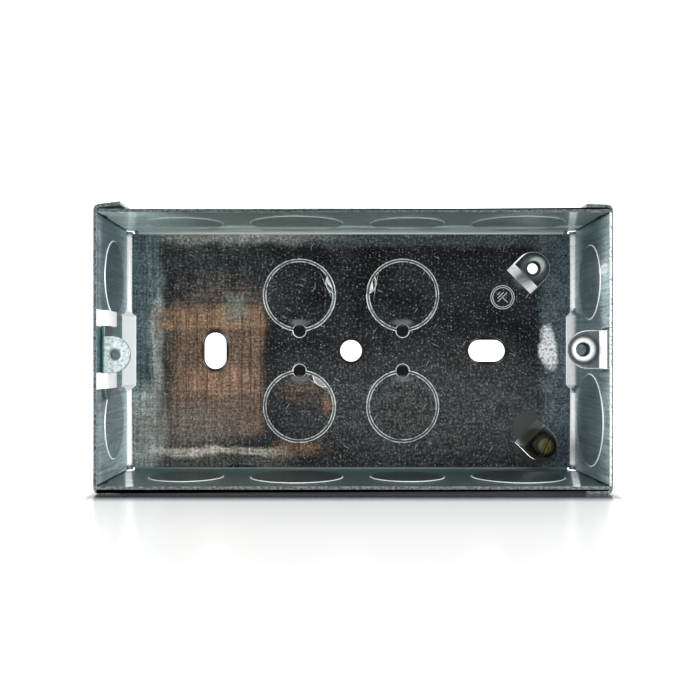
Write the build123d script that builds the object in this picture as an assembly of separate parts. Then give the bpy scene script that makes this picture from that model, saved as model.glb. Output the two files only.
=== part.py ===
from build123d import *
import math
import os

# Metal back box, two gangs wide, folded from one galvanised sheet and standing on a long side.
# X is the width, Y the depth with the open face towards -Y, Z the height. Millimetres.
# Depths are measured back from the rim; heights are worked out from the box's centre and
# lifted at the end, so that the box stands at Z = 0.

# Folded box
WIDTH = 132.0                # outside, over the two short walls
HEIGHT = 71.4                # outside, over the two long walls
DEPTH = 35.0                 # rim to back
SHEET = 0.9                  # gauge of the galvanised sheet
LONG_BEND = 1.0              # inner radius, floor to long wall
SHORT_BEND = 1.5             # inner radius, floor to short wall
CORNER_BEND = 0.7            # inner radius, short wall to corner tab
SEAM = 0.2                   # gap between a long wall's end and the short wall
TAB_REACH = 6.8              # corner tab, from the box's end face to its free edge
TAB_GAP = 0.15               # between a corner tab and the long wall that it covers
TAB_SPRING = {(-1, 1): 0.9, (1, 1): 0.2, (-1, -1): 0.0, (1, -1): 0.0}   # free edge stands off
SLIT_DEPTH = 7.0             # centre of the slit in each corner seam, back from the rim
SLIT_LENGTH = 6.4
SLIT_OPENING = 0.55
RELIEF = 0.7                 # square relief where three folds meet
PAST = 0.5                   # how far a cutter runs past what it cuts
ROLL_STEPS = 2               # flats that a small rolled or turned edge is drawn with

# The fold at each short wall is wider where the press tool is cut away to clear the lug
TOOL_GAP = 19.6              # length of the wide fold
TOOL_GAP_TAPER = 2.4         # how soon it narrows at each end
TOOL_GAP_RISE = 8.3          # its edge on the wall, from the floor
TOOL_GAP_REACH = 2.3         # its edge on the floor, from the wall

# Knockouts, semi-pierced: the disc is pushed inwards but not cut free
SMALL_KNOCKOUT_DIAMETER = 20.8   # disc for 20 mm conduit
LARGE_KNOCKOUT_DIAMETER = 25.8   # disc for 25 mm conduit
KNOCKOUT_PUSH = 0.35         # how far the disc stands in from the wall
KNOCKOUT_EDGE = 0.35         # slope of the sheared edge, in plan
WALL_KNOCKOUT_DEPTH = 17.5   # centres of the wall knockouts, back from the rim
LONG_WALL_PITCH = 30.2       # four along each long wall: 20, 25, 20, 25
LEFT_KNOCKOUT_Z = 19.6       # both of the left wall's, from its middle
RIGHT_SMALL_Z = 18.5         # the right wall's upper one
RIGHT_LARGE_Z = 19.1         # the right wall's lower one
FLOOR_KNOCKOUT_X = 15.05
FLOOR_KNOCKOUT_Z = 16.2
NOTCH_WIDTH = 3.9            # pry notch at the edge of a floor knockout
NOTCH_SINK = 0.5
NIB_ANGLES = {(-1, 1): 18.0, (1, 1): 162.0, (-1, -1): 51.0}   # where a floor disc still hangs on
NIB_SLOPE = 2.1              # sloping neck there, from the disc's edge inwards
NIB_RADIUS = 3.4             # round outline of the neck

# Holes in the floor
CENTRE_HOLE = 6.3
SLOT_X = 39.6                # centres of the two fixing slots
SLOT_LENGTH = 10.6
SLOT_WIDTH = 6.3
HOLE_ROLL = 0.35             # rolled edge on the inner side

# Earth tabs, lanced from the floor and raised
EARTH_TAB_WIDTH = 9.4
EARTH_TAB_ROOT = 5.4         # root to hole centre
EARTH_TAB_RAMP = 2.1
EARTH_TAB_LIFT = 2.0
EARTH_TAB_BEND = 0.3
EARTH_HOLE = 3.3             # tapping size of M4
EARTH_COLLAR = 5.0
EARTH_COLLAR_LENGTH = 1.0
EARTH_FLARE = 0.9
UPPER_TAB_FROM_END = 13.2    # hole centre in from the box's right end
UPPER_TAB_FROM_TOP = 11.8    # and down from its top
UPPER_TAB_ANGLE = 45.0
LOWER_TAB_FROM_END = 11.0
LOWER_TAB_FROM_BASE = 8.6
LOWER_TAB_ANGLE = -45.0

# Cover fixing lugs, whose holes come out at the standard 120.65 apart
FIXED_LUG_INSET = 6.7        # hole centre in from the box's right end
SLIDING_LUG_INSET = 4.65     # hole centre in from the box's left end
LUG_FACE_DEPTH = 3.0         # front of both lug plates, back from the rim
LUG_HOLE = 3.0               # tapping size of M3.5
LUG_COLLAR = 4.9
FIXED_COLLAR_LENGTH = 1.8
SLIDING_COLLAR_LENGTH = 1.2
FIXED_LUG_WIDTH = 9.8
FIXED_LUG_REACH = 10.6       # plate's round end in from the box's right end
FIXED_LUG_BEND = 2.2
FIXED_LUG_FLARE = 1.3

# Bridge loops that hold the adjustable lug
LOOP_PITCH = 16.2
LOOP_HEIGHT = 4.0
LOOP_START = 0.9             # foot of the front ramp, back from the rim
LOOP_RAMP = 2.4
LOOP_BEND = 0.4
LANCE_GAP = 0.1              # width of a lanced cut

# Adjustable lug
LUG_SHEET = 1.0
SLIDE_CLEARANCE = 0.1
STOP_CLEARANCE = 0.02        # between the lug and the loop that it rests on
LUG_PLATE_HEIGHT = 9.5
SLIDING_LUG_REACH = 8.7      # plate's round end in from the box's left end
LUG_OUTER_BEND = 1.2
LUG_FLARE = 0.3
SPINE_FRONT = 3.9            # front edge of the spine, back from the rim
SPINE_WIDTH = 7.9
SPINE_LENGTH = 23.4
SPINE_TIP = 2.4
SPINE_TAPER = 3.5

# Earth screw, M4 x 6, slotted
SCREW_HEAD = 6.8
SCREW_HEAD_HEIGHT = 2.2
SCREW_HEAD_ROUND = 0.7
SCREW_LENGTH = 6.0
SCREW_CLEARANCE = 0.03       # radial, in the tapped hole
SCREW_SET_IN = 0.1           # screw's end in from the back of the box
SCREW_SLOT = 1.0
SCREW_SLOT_DEPTH = 1.1
SCREW_SLOT_ANGLE = 67.0
SCREW_POINT = 0.5

# Worked out from the sizes above
HALF_W = WIDTH / 2
HALF_H = HEIGHT / 2
INNER_W = HALF_W - SHEET
INNER_H = HALF_H - SHEET
FLOOR_DEPTH = DEPTH - SHEET
LONG_OUTER = LONG_BEND + SHEET
SHORT_OUTER = SHORT_BEND + SHEET
CORNER_OUTER = CORNER_BEND + SHEET
TAB_SKIN = HALF_H + TAB_GAP + SHEET
FLOOR_END = HALF_W - SHORT_OUTER - SEAM
BASE_LIFT = TAB_SKIN
THROUGH = 2 * SHEET          # a cutter this long each way goes through a wall
UPPER_EARTH = (HALF_W - UPPER_TAB_FROM_END, HALF_H - UPPER_TAB_FROM_TOP, UPPER_TAB_ANGLE)
LOWER_EARTH = (HALF_W - LOWER_TAB_FROM_END, -HALF_H + LOWER_TAB_FROM_BASE, LOWER_TAB_ANGLE)
FIXED_LUG_X = HALF_W - FIXED_LUG_INSET
FIXED_LUG_END = HALF_W - FIXED_LUG_REACH
SLIDING_LUG_X = -HALF_W + SLIDING_LUG_INSET
SLIDING_LUG_END = -HALF_W + SLIDING_LUG_REACH


def at_depth(depth):
    """Y of a point that lies this far back from the rim."""
    return depth - DEPTH / 2


def sheet_profile(points, radii, side, thickness=SHEET):
    """Section of a bent strip: a skin line through the points, and one parallel to it beside it."""
    hand = 1 if side == Side.RIGHT else -1
    spots = [Vector(*point) for point in points]
    ways = [(after - before).normalized() for before, after in zip(spots, spots[1:])]
    across = [Vector(way.Y, -way.X) * hand for way in ways]
    mitres = [(one + two) * (1 / (1 + one.dot(two))) for one, two in zip(across, across[1:])]
    shifts = [across[0], *mitres, across[-1]]
    beside = [spot + shift * thickness for spot, shift in zip(spots, shifts)]
    turns = [hand * math.copysign(1, one.cross(two).Z) for one, two in zip(ways, ways[1:])]
    if not isinstance(radii, list):
        radii = [radii] * len(turns)
    far_radii = [max(radius + turn * thickness, 0) for radius, turn in zip(radii, turns)]
    near, far = FilletPolyline(*points, radius=radii), FilletPolyline(*beside, radius=far_radii)
    return make_face(near + Line(near @ 1, far @ 1) + far + Line(far @ 0, near @ 0))


def tongue(length, width):
    """Tongue outline: straight from -length to 0 along X, then round about the origin."""
    return Pos(-length / 2, 0) * Rectangle(length, width) + Circle(width / 2)


def quarter_round(centre, radius, start):
    """Points of a quarter turn about a centre, drawn in a few flats."""
    turns = [math.radians(start + 90 * step / ROLL_STEPS) for step in range(ROLL_STEPS + 1)]
    return [(centre[0] + radius * math.cos(t), centre[1] + radius * math.sin(t)) for t in turns]


def turned(points):
    """Solid of revolution about Z from the points of its half section."""
    return revolve(Plane.XZ * make_face(Polyline(*points, close=True)), axis=Axis.Z)


def flared_bore(radius, flare, length):
    """Cutter for a tapped hole: straight bore below the local XY plane, with a rolled mouth."""
    mouth = radius + flare
    roll = quarter_round((mouth, -flare), flare, 90)
    return turned([(0, PAST), (mouth, PAST), *roll, (radius, -length), (0, -length)])


def long_walls_and_floor():
    """Floor with both long walls, one channel along X, cut clear of the corner folds."""
    front, back = at_depth(0), at_depth(DEPTH)
    points = [(front, HALF_H), (back, HALF_H), (back, -HALF_H), (front, -HALF_H)]
    section = sheet_profile(points, LONG_OUTER, Side.RIGHT)
    channel = extrude(Plane.YZ * section, amount=INNER_W - SEAM, both=True)
    lens = [(0, -0.5), (1, -0.25), (1, 0.25), (0, 0.5), (-1, 0.25), (-1, -0.25)]
    outline = [(SLIT_OPENING * across, SLIT_LENGTH * along) for across, along in lens]
    slit = extrude(make_face(Polyline(*outline, close=True)), amount=HALF_H, both=True)
    for side in (-1, 1):
        beyond = HALF_W - FLOOR_END
        fold = Box(beyond, LONG_OUTER, HEIGHT)
        channel -= Pos(side * (FLOOR_END + beyond / 2), at_depth(DEPTH - LONG_OUTER / 2), 0) * fold
        channel -= Pos(side * (INNER_W - SEAM), at_depth(SLIT_DEPTH), 0) * slit
    return channel


def short_wall(side):
    """Short wall with its fold to the floor, and the corner tabs at its two ends."""
    front, back = at_depth(0), at_depth(DEPTH)
    skin = side * HALF_W
    inward = Side.LEFT if side > 0 else Side.RIGHT
    fold_points = [(skin, front), (skin, back), (side * FLOOR_END, back)]
    fold = extrude(
        sheet_profile(fold_points, SHORT_OUTER, inward),
        amount=INNER_H - TAB_GAP, both=True,
    )
    free = side * (HALF_W - TAB_REACH)
    tab_points = [
        (free, TAB_SKIN + TAB_SPRING[side, 1]),
        (skin, TAB_SKIN),
        (skin, -TAB_SKIN),
        (free, -TAB_SKIN - TAB_SPRING[side, -1]),
    ]
    around = Side.RIGHT if side > 0 else Side.LEFT
    wrap_face = sheet_profile(tab_points, CORNER_OUTER, around)
    wrap = extrude(Plane.XZ * wrap_face, amount=-(DEPTH - SHORT_OUTER))
    return fold + Pos(0, front, 0) * wrap


def corner_wedge(corner, to_wall, to_floor):
    """Wedge along Z in the corner of a short fold, which dies away at both ends."""
    x, y = corner
    half = TOOL_GAP / 2
    sections = []
    for z, share in ((-half - TOOL_GAP_TAPER, 0.2), (-half, 1), (half, 1), (half + TOOL_GAP_TAPER, 0.2)):
        points = [(x, y), (x, y + share * to_wall), (x + share * to_floor, y)]
        sections.append(Pos(0, 0, z) * make_face(Polyline(*points, close=True)))
    return loft(sections, ruled=True)


def widen_fold(body, side):
    """Lean the middle of a short wall's fold inwards: fill its corner and pare as much off outside."""
    slant = math.hypot(TOOL_GAP_RISE, TOOL_GAP_REACH)
    deeper = SHEET / 2
    rise = TOOL_GAP_RISE + deeper * (1 + TOOL_GAP_RISE / TOOL_GAP_REACH)
    reach = rise * TOOL_GAP_REACH / TOOL_GAP_RISE
    inner = (side * (INNER_W + deeper), at_depth(FLOOR_DEPTH + deeper))
    body += corner_wedge(inner, -rise, -side * reach)
    rise = TOOL_GAP_RISE + SHEET * (1 + (TOOL_GAP_RISE - slant) / TOOL_GAP_REACH)
    reach = rise * TOOL_GAP_REACH / TOOL_GAP_RISE
    outer = (side * (HALF_W + PAST), at_depth(DEPTH + PAST))
    grown = PAST * (1 + TOOL_GAP_RISE / TOOL_GAP_REACH)
    rise += grown
    reach += grown * TOOL_GAP_REACH / TOOL_GAP_RISE
    return body - corner_wedge(outer, -rise, -side * reach)


def knockout_disc(diameter):
    """Disc pushed in from a wall: sits on the local XY plane, with a sheared, sloping edge."""
    return Pos(0, 0, KNOCKOUT_PUSH / 2) * Cone(diameter / 2, diameter / 2 - KNOCKOUT_EDGE, KNOCKOUT_PUSH)


def add_knockout(body, inner_face, diameter):
    """Semi-pierce one knockout; the plane lies on the wall's inner face and looks inwards."""
    behind = Pos(0, 0, KNOCKOUT_PUSH / 2 - SHEET) * Cylinder(diameter / 2, KNOCKOUT_PUSH)
    return body + inner_face * knockout_disc(diameter) - inner_face * behind


def wall_knockouts():
    """Plane and diameter of every knockout in the four walls."""
    y = at_depth(WALL_KNOCKOUT_DEPTH)
    places = []
    small, large = SMALL_KNOCKOUT_DIAMETER, LARGE_KNOCKOUT_DIAMETER
    for index, diameter in enumerate((small, large, small, large)):
        x = (index - 1.5) * LONG_WALL_PITCH
        places.append((Plane((x, y, INNER_H), z_dir=(0, 0, -1)), diameter))
        places.append((Plane((x, y, -INNER_H), z_dir=(0, 0, 1)), diameter))
    for z in (LEFT_KNOCKOUT_Z, -LEFT_KNOCKOUT_Z):
        places.append((Plane((-INNER_W, y, z), z_dir=(1, 0, 0)), small))
    for z, diameter in ((RIGHT_SMALL_Z, small), (-RIGHT_LARGE_Z, large)):
        places.append((Plane((INNER_W, y, z), z_dir=(-1, 0, 0)), diameter))
    return places


def floor_plane(x, z, angle=0.0):
    """Plane on the floor's inner face that looks out of the box, with its X turned by an angle."""
    turn = math.radians(angle)
    x_dir = (math.cos(turn), 0, math.sin(turn))
    return Plane((x, at_depth(FLOOR_DEPTH), z), x_dir=x_dir, z_dir=(0, -1, 0))


def nib_cut(diameter):
    """Cutter for the sloping neck of a disc, on the local +X side of the wall's inner face."""
    edge = diameter / 2
    start = edge - NIB_SLOPE
    points = [(start, KNOCKOUT_PUSH), (edge, 0), (edge, 2 * KNOCKOUT_PUSH), (start, 2 * KNOCKOUT_PUSH)]
    slope = extrude(Plane.XZ * make_face(Polyline(*points, close=True)), amount=NIB_RADIUS, both=True)
    return slope & Pos(start + NIB_RADIUS, 0, 0) * Cylinder(NIB_RADIUS, diameter)


def floor_knockouts(body):
    """Four knockouts in the floor, each with a pry notch on the side of the centre line."""
    for across in (-1, 1):
        for up in (-1, 1):
            x, z = across * FLOOR_KNOCKOUT_X, up * FLOOR_KNOCKOUT_Z
            body = add_knockout(body, floor_plane(x, z), SMALL_KNOCKOUT_DIAMETER)
            notch_height = NOTCH_SINK + 2 * KNOCKOUT_PUSH
            notch = Cylinder(NOTCH_WIDTH / 2, notch_height)
            sunk = notch_height / 2 - NOTCH_SINK
            body -= floor_plane(x, z - up * SMALL_KNOCKOUT_DIAMETER / 2) * Pos(0, 0, sunk) * notch
            if (across, up) in NIB_ANGLES:
                body -= floor_plane(x, z, NIB_ANGLES[across, up]) * nib_cut(SMALL_KNOCKOUT_DIAMETER)
    return body


def rolled_cut(outline, grown):
    """Cutter through the floor with a sloping rolled edge on the inner side."""
    through = extrude(outline, amount=THROUGH, both=True)
    return through + extrude(grown, amount=-HOLE_ROLL, taper=45)


def floor_holes(body):
    """Centre hole, and the upright and level fixing slots."""
    hole = Circle(CENTRE_HOLE / 2)
    body -= floor_plane(0, 0) * rolled_cut(hole, Circle(CENTRE_HOLE / 2 + HOLE_ROLL))
    slot = SlotOverall(SLOT_LENGTH, SLOT_WIDTH)
    grown = SlotOverall(SLOT_LENGTH + 2 * HOLE_ROLL, SLOT_WIDTH + 2 * HOLE_ROLL)
    body -= floor_plane(-SLOT_X, 0, 90) * rolled_cut(slot, grown)
    body -= floor_plane(SLOT_X, 0) * rolled_cut(slot, grown)
    return body


def earth_tab(body, x, z, angle):
    """Lance a tongue from the floor, raise it on a ramp and give it a plunged, tapped hole."""
    floor = floor_plane(x, z, angle)
    opening = tongue(EARTH_TAB_ROOT, EARTH_TAB_WIDTH + 2 * LANCE_GAP)
    body -= floor * extrude(opening, amount=SHEET, both=True)
    foot = -EARTH_TAB_ROOT - SHEET
    points = [
        (foot, 0),
        (-EARTH_TAB_ROOT, 0),
        (-EARTH_TAB_ROOT + EARTH_TAB_RAMP, EARTH_TAB_LIFT),
        (EARTH_TAB_WIDTH / 2, EARTH_TAB_LIFT),
    ]
    section = sheet_profile(points, [EARTH_TAB_BEND, EARTH_TAB_BEND + SHEET], Side.RIGHT)
    strip = extrude(Plane.XZ * section, amount=EARTH_TAB_WIDTH / 2, both=True)
    plan = extrude(tongue(-foot, EARTH_TAB_WIDTH), amount=DEPTH / 2, both=True)
    collar_height = EARTH_COLLAR_LENGTH + SHEET / 2
    collar = Pos(0, 0, EARTH_TAB_LIFT - SHEET / 2 - collar_height / 2)
    collar *= Cylinder(EARTH_COLLAR / 2, collar_height)
    bore = flared_bore(EARTH_HOLE / 2, EARTH_FLARE, SHEET + EARTH_COLLAR_LENGTH + PAST)
    tab = (strip & plan) + collar - Pos(0, 0, EARTH_TAB_LIFT) * bore
    return body + floor * tab


def fixed_lug(body):
    """Lance the fixed lug from the right wall, its root at the rim, and bend it square inwards."""
    root = LUG_FACE_DEPTH - FIXED_LUG_BEND
    round_centre = FIXED_LUG_END + FIXED_LUG_WIDTH / 2
    flat = INNER_W - FIXED_LUG_BEND - round_centre
    straight = math.pi / 2 * (FIXED_LUG_BEND + SHEET / 2) + flat
    wall = Plane((INNER_W, at_depth(root + straight), 0), x_dir=(0, 1, 0), z_dir=(1, 0, 0))
    window = extrude(tongue(straight, FIXED_LUG_WIDTH + 2 * LANCE_GAP), amount=THROUGH, both=True)
    body -= wall * window
    points = [
        (INNER_W, at_depth(0)),
        (INNER_W, at_depth(LUG_FACE_DEPTH)),
        (FIXED_LUG_END, at_depth(LUG_FACE_DEPTH)),
    ]
    strip = extrude(
        sheet_profile(points, FIXED_LUG_BEND, Side.RIGHT), amount=FIXED_LUG_WIDTH / 2, both=True
    )
    plan_plane = Plane((round_centre, 0, 0), x_dir=(-1, 0, 0), z_dir=(0, 1, 0))
    plan = extrude(tongue(HALF_W, FIXED_LUG_WIDTH), amount=DEPTH, both=True)
    hole = Plane((FIXED_LUG_X, at_depth(LUG_FACE_DEPTH), 0), x_dir=(1, 0, 0), z_dir=(0, -1, 0))
    collar_height = FIXED_COLLAR_LENGTH + SHEET / 2
    collar = Pos(0, 0, -SHEET / 2 - collar_height / 2) * Cylinder(LUG_COLLAR / 2, collar_height)
    bore = flared_bore(LUG_HOLE / 2, FIXED_LUG_FLARE, SHEET + FIXED_COLLAR_LENGTH + PAST)
    return body + ((strip & plan_plane * plan) + hole * collar - hole * bore)


def bridge_loops(body):
    """Two bridges lanced from the left wall, raised just enough for the lug's spine to pass."""
    rise = SHEET + LUG_SHEET + 2 * SLIDE_CLEARANCE
    span = SPINE_FRONT - LOOP_START - LOOP_RAMP
    end = SPINE_FRONT + SPINE_WIDTH + span + LOOP_RAMP
    points = [
        (-HALF_W, at_depth(LOOP_START - SHEET)),
        (-HALF_W, at_depth(LOOP_START)),
        (-HALF_W + rise, at_depth(LOOP_START + LOOP_RAMP)),
        (-HALF_W + rise, at_depth(end - LOOP_RAMP)),
        (-HALF_W, at_depth(end)),
        (-HALF_W, at_depth(end + SHEET)),
    ]
    foot, top = LOOP_BEND + SHEET, LOOP_BEND
    section = sheet_profile(points, [foot, top, top, foot], Side.RIGHT)
    for side in (-1, 1):
        z = side * LOOP_PITCH / 2
        middle = at_depth((LOOP_START + end) / 2)
        lance = Box(3 * SHEET, end - LOOP_START, LOOP_HEIGHT + 2 * LANCE_GAP)
        body -= Pos(-HALF_W + SHEET / 2, middle, z) * lance
        body += Pos(0, 0, z) * extrude(section, amount=LOOP_HEIGHT / 2, both=True)
    return body


def box_body():
    """The whole folded blank."""
    body = long_walls_and_floor() + short_wall(-1) + short_wall(1)
    for side in (-1, 1):
        body = widen_fold(body, side)
        for end in (-1, 1):
            relief = Box(RELIEF, 2 * SHORT_OUTER, RELIEF)
            body -= Pos(side * FLOOR_END, at_depth(DEPTH), end * (INNER_H - RELIEF / 2)) * relief
    for inner_face, diameter in wall_knockouts():
        body = add_knockout(body, inner_face, diameter)
    body = floor_holes(floor_knockouts(body))
    body = earth_tab(earth_tab(body, *UPPER_EARTH), *LOWER_EARTH)
    return bridge_loops(fixed_lug(body))


def adjustable_lug():
    """Pressed lug: a spine that slides in the loops, and a plate bent off its front edge."""
    back_skin = -INNER_W + SLIDE_CLEARANCE
    points = [
        (back_skin, at_depth(SPINE_FRONT + SPINE_WIDTH)),
        (back_skin, at_depth(LUG_FACE_DEPTH)),
        (SLIDING_LUG_END, at_depth(LUG_FACE_DEPTH)),
    ]
    angle_face = sheet_profile(points, LUG_OUTER_BEND, Side.LEFT, LUG_SHEET)
    angle = extrude(angle_face, amount=LUG_PLATE_HEIGHT / 2, both=True)
    round_centre = SLIDING_LUG_END - LUG_PLATE_HEIGHT / 2
    plan_plane = Plane((round_centre, 0, 0), x_dir=(1, 0, 0), z_dir=(0, -1, 0))
    plan = extrude(tongue(HALF_W, LUG_PLATE_HEIGHT), amount=DEPTH, both=True)

    near, far = SPINE_FRONT, SPINE_FRONT + SPINE_WIDTH
    middle = (near + far) / 2
    top, shoulder = SPINE_LENGTH / 2, SPINE_LENGTH / 2 - SPINE_TAPER
    right_side = [(far, shoulder), (middle + SPINE_TIP / 2, top)]
    left_side = [(middle - SPINE_TIP / 2, top), (near, shoulder)]
    upper = [(at_depth(d), h) for d, h in right_side + left_side]
    lower = [(y, -h) for y, h in reversed(upper)]
    spine_face = Plane.YZ * make_face(Polyline(*upper, *lower, close=True))
    spine = Pos(back_skin, 0, 0) * extrude(spine_face, amount=LUG_SHEET)

    hole = Plane((SLIDING_LUG_X, at_depth(LUG_FACE_DEPTH), 0), x_dir=(1, 0, 0), z_dir=(0, -1, 0))
    collar_height = SLIDING_COLLAR_LENGTH + LUG_SHEET / 2
    collar = Pos(0, 0, -LUG_SHEET / 2 - collar_height / 2) * Cylinder(LUG_COLLAR / 2, collar_height)
    bore = flared_bore(LUG_HOLE / 2, LUG_FLARE, LUG_SHEET + SLIDING_COLLAR_LENGTH + PAST)
    lug = (angle & plan_plane * plan) + spine + hole * collar - hole * bore
    rest = -LOOP_PITCH / 2 + LOOP_HEIGHT / 2 + LUG_PLATE_HEIGHT / 2 + STOP_CLEARANCE
    return Pos(0, 0, rest) * lug


def earth_screw():
    """Slotted cheese-head screw, part way into the lower earth tab."""
    head_radius, shank_radius = SCREW_HEAD / 2, EARTH_HOLE / 2 - SCREW_CLEARANCE
    top = SCREW_LENGTH + SCREW_HEAD_HEIGHT
    crown = quarter_round((head_radius - SCREW_HEAD_ROUND, top - SCREW_HEAD_ROUND), SCREW_HEAD_ROUND, 0)
    screw = turned([
        (0, 0),
        (shank_radius - SCREW_POINT, 0),
        (shank_radius, SCREW_POINT),
        (shank_radius, SCREW_LENGTH),
        (head_radius, SCREW_LENGTH),
        *crown,
        (0, top),
    ])
    slot = Box(2 * SCREW_HEAD, SCREW_SLOT, 2 * SCREW_SLOT_DEPTH)
    slot = Pos(0, 0, top) * Rot(0, 0, SCREW_SLOT_ANGLE) * slot
    x, z, _ = LOWER_EARTH
    back = Plane((x, at_depth(DEPTH - SCREW_SET_IN), z), x_dir=(1, 0, 0), z_dir=(0, -1, 0))
    return back * (screw - slot)


def main():
    os.makedirs("parts", exist_ok=True)
    pieces = {
        "box_body": box_body(),
        "adjustable_lug": adjustable_lug(),
        "earth_screw": earth_screw(),
    }
    for name, piece in pieces.items():
        export_step(Pos(0, 0, BASE_LIFT) * piece, f"parts/{name}.step")


if __name__ == "__main__":
    main()
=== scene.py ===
"""Looks of a folded, galvanised metal back box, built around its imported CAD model.

Everything is in metres in the CAD model's frame: X to the right, Y from the open face to the
back, Z up from the table. Sizes in the dataclasses are millimetres, as on a drawing.
"""

import logging
import math
from dataclasses import dataclass, field
from enum import Enum
from functools import cached_property
from typing import Any

import bmesh
import bpy
from bpy.types import Material, Node, NodeSocket, NodeTree, Object
from mathutils import Matrix, Vector


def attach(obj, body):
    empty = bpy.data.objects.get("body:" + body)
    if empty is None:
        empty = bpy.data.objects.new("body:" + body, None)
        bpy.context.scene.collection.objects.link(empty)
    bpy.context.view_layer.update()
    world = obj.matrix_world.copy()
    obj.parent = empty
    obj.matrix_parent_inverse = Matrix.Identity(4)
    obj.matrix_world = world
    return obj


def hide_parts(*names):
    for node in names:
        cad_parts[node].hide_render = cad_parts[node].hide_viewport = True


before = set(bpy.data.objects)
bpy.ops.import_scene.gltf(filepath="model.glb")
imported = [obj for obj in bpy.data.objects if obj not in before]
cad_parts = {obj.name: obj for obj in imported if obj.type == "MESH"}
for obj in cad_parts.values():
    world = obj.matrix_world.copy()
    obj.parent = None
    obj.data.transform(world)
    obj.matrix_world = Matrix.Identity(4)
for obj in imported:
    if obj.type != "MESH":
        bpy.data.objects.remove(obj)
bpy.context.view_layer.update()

LOG = logging.getLogger("back_box")
MM = 0.001
TO_MM = 1000.0

HALF_WIDTH = 66.0            # middle of the box to an end face
HALF_HEIGHT = 35.7           # middle of the box to a long face
HALF_DEPTH = 17.5            # rim to the middle of the box
CENTRE_HEIGHT = 36.75        # table to the middle of the box
SHEET = 0.9                  # gauge of the sheet
INNER_WIDTH = HALF_WIDTH - SHEET
INNER_HEIGHT = HALF_HEIGHT - SHEET
FLAT_UNDER = math.radians(0.4)       # faces that meet at less than this are one flat
ROUNDED_OVER = math.radians(40)      # edges sharper than this are rounded off
SMOOTH_UNDER = math.radians(35)      # and the rest are shaded smooth up to this
DEPTH = 2 * HALF_DEPTH
FLOOR_DEPTH = DEPTH - SHEET
RELIEF = (61.0, 13.0, 33.0)  # sideways, back and in height off the box's middle: beyond, folds meet
LEAN = 0.7                   # how far patterns move on along a wall for each millimetre of depth

# Settings that a kind of node has wherever nothing else is said
USUAL = {
    "Mix": {"data_type": "RGBA"},
    "TexNoise": {"noise_dimensions": "2D"},
    "TexVoronoi": {"voronoi_dimensions": "2D"},
}


class Finish(Enum):
    """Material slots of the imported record."""

    SHEET = "galvanised_steel"
    PLATE = "zinc_plated_steel"
    BRASS = "brass"


class Body(Enum):
    """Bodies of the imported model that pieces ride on."""

    BOX = "box"
    LUG = "sliding_lug"


def linear(colour: str) -> tuple[float, float, float, float]:
    """Turn an sRGB hex colour into linear light.

    Args:
        colour: hex colour such as "#8A9496".

    Returns:
        Red, green, blue and an alpha of 1.
    """
    parts = [int(colour[i:i + 2], 16) / 255 for i in (1, 3, 5)]
    light = [p / 12.92 if p <= 0.04045 else ((p + 0.055) / 1.055) ** 2.4 for p in parts]
    return (light[0], light[1], light[2], 1.0)


def first_socket(sockets: Any, key: Any = None) -> NodeSocket:
    """Find a socket by index or name among those in use.

    Args:
        sockets: a node's inputs or outputs.
        key: index, name, or None for the first one in use.

    Returns:
        The socket.
    """
    if isinstance(key, int):
        return sockets[key]
    return next(s for s in sockets if s.enabled and key in (None, s.name))


def add(tree: NodeTree, kind: str, inputs: dict | tuple = (), operation: str | None = None,
        **settings: Any) -> Node:
    """Add a node, set its properties, and fill or link its inputs.

    Args:
        tree: node tree that gets the node.
        kind: Blender's type name of the node, where a shader or maths node drops "ShaderNode".
        inputs: for each input, by name or in order, a value, a socket or a node to link.
        operation: what a maths node works out.
        settings: the node's other properties, where they aren't the usual ones.

    Returns:
        The new node.
    """
    made = tree.nodes.new(kind if kind.startswith(("Geometry", "NodeGroup")) else "ShaderNode" + kind)
    if operation:
        made.operation = operation
    for name, value in {**USUAL.get(kind, {}), **settings}.items():
        setattr(made, name, value)
    for key, value in inputs.items() if isinstance(inputs, dict) else enumerate(inputs):
        target = first_socket(made.inputs, key)
        if isinstance(value, Node):
            value = first_socket(value.outputs)
        if isinstance(value, NodeSocket):
            tree.links.new(value, target)
        else:
            target.default_value = value
    return made


def new_material(name: str) -> tuple[Material, NodeTree]:
    """Make an empty node material.

    Args:
        name: the real material and how its surface was made.

    Returns:
        The material and its node tree, with no nodes.
    """
    material = bpy.data.materials.new(name)
    material.use_nodes = True
    material.node_tree.nodes.clear()
    return material, material.node_tree


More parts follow.
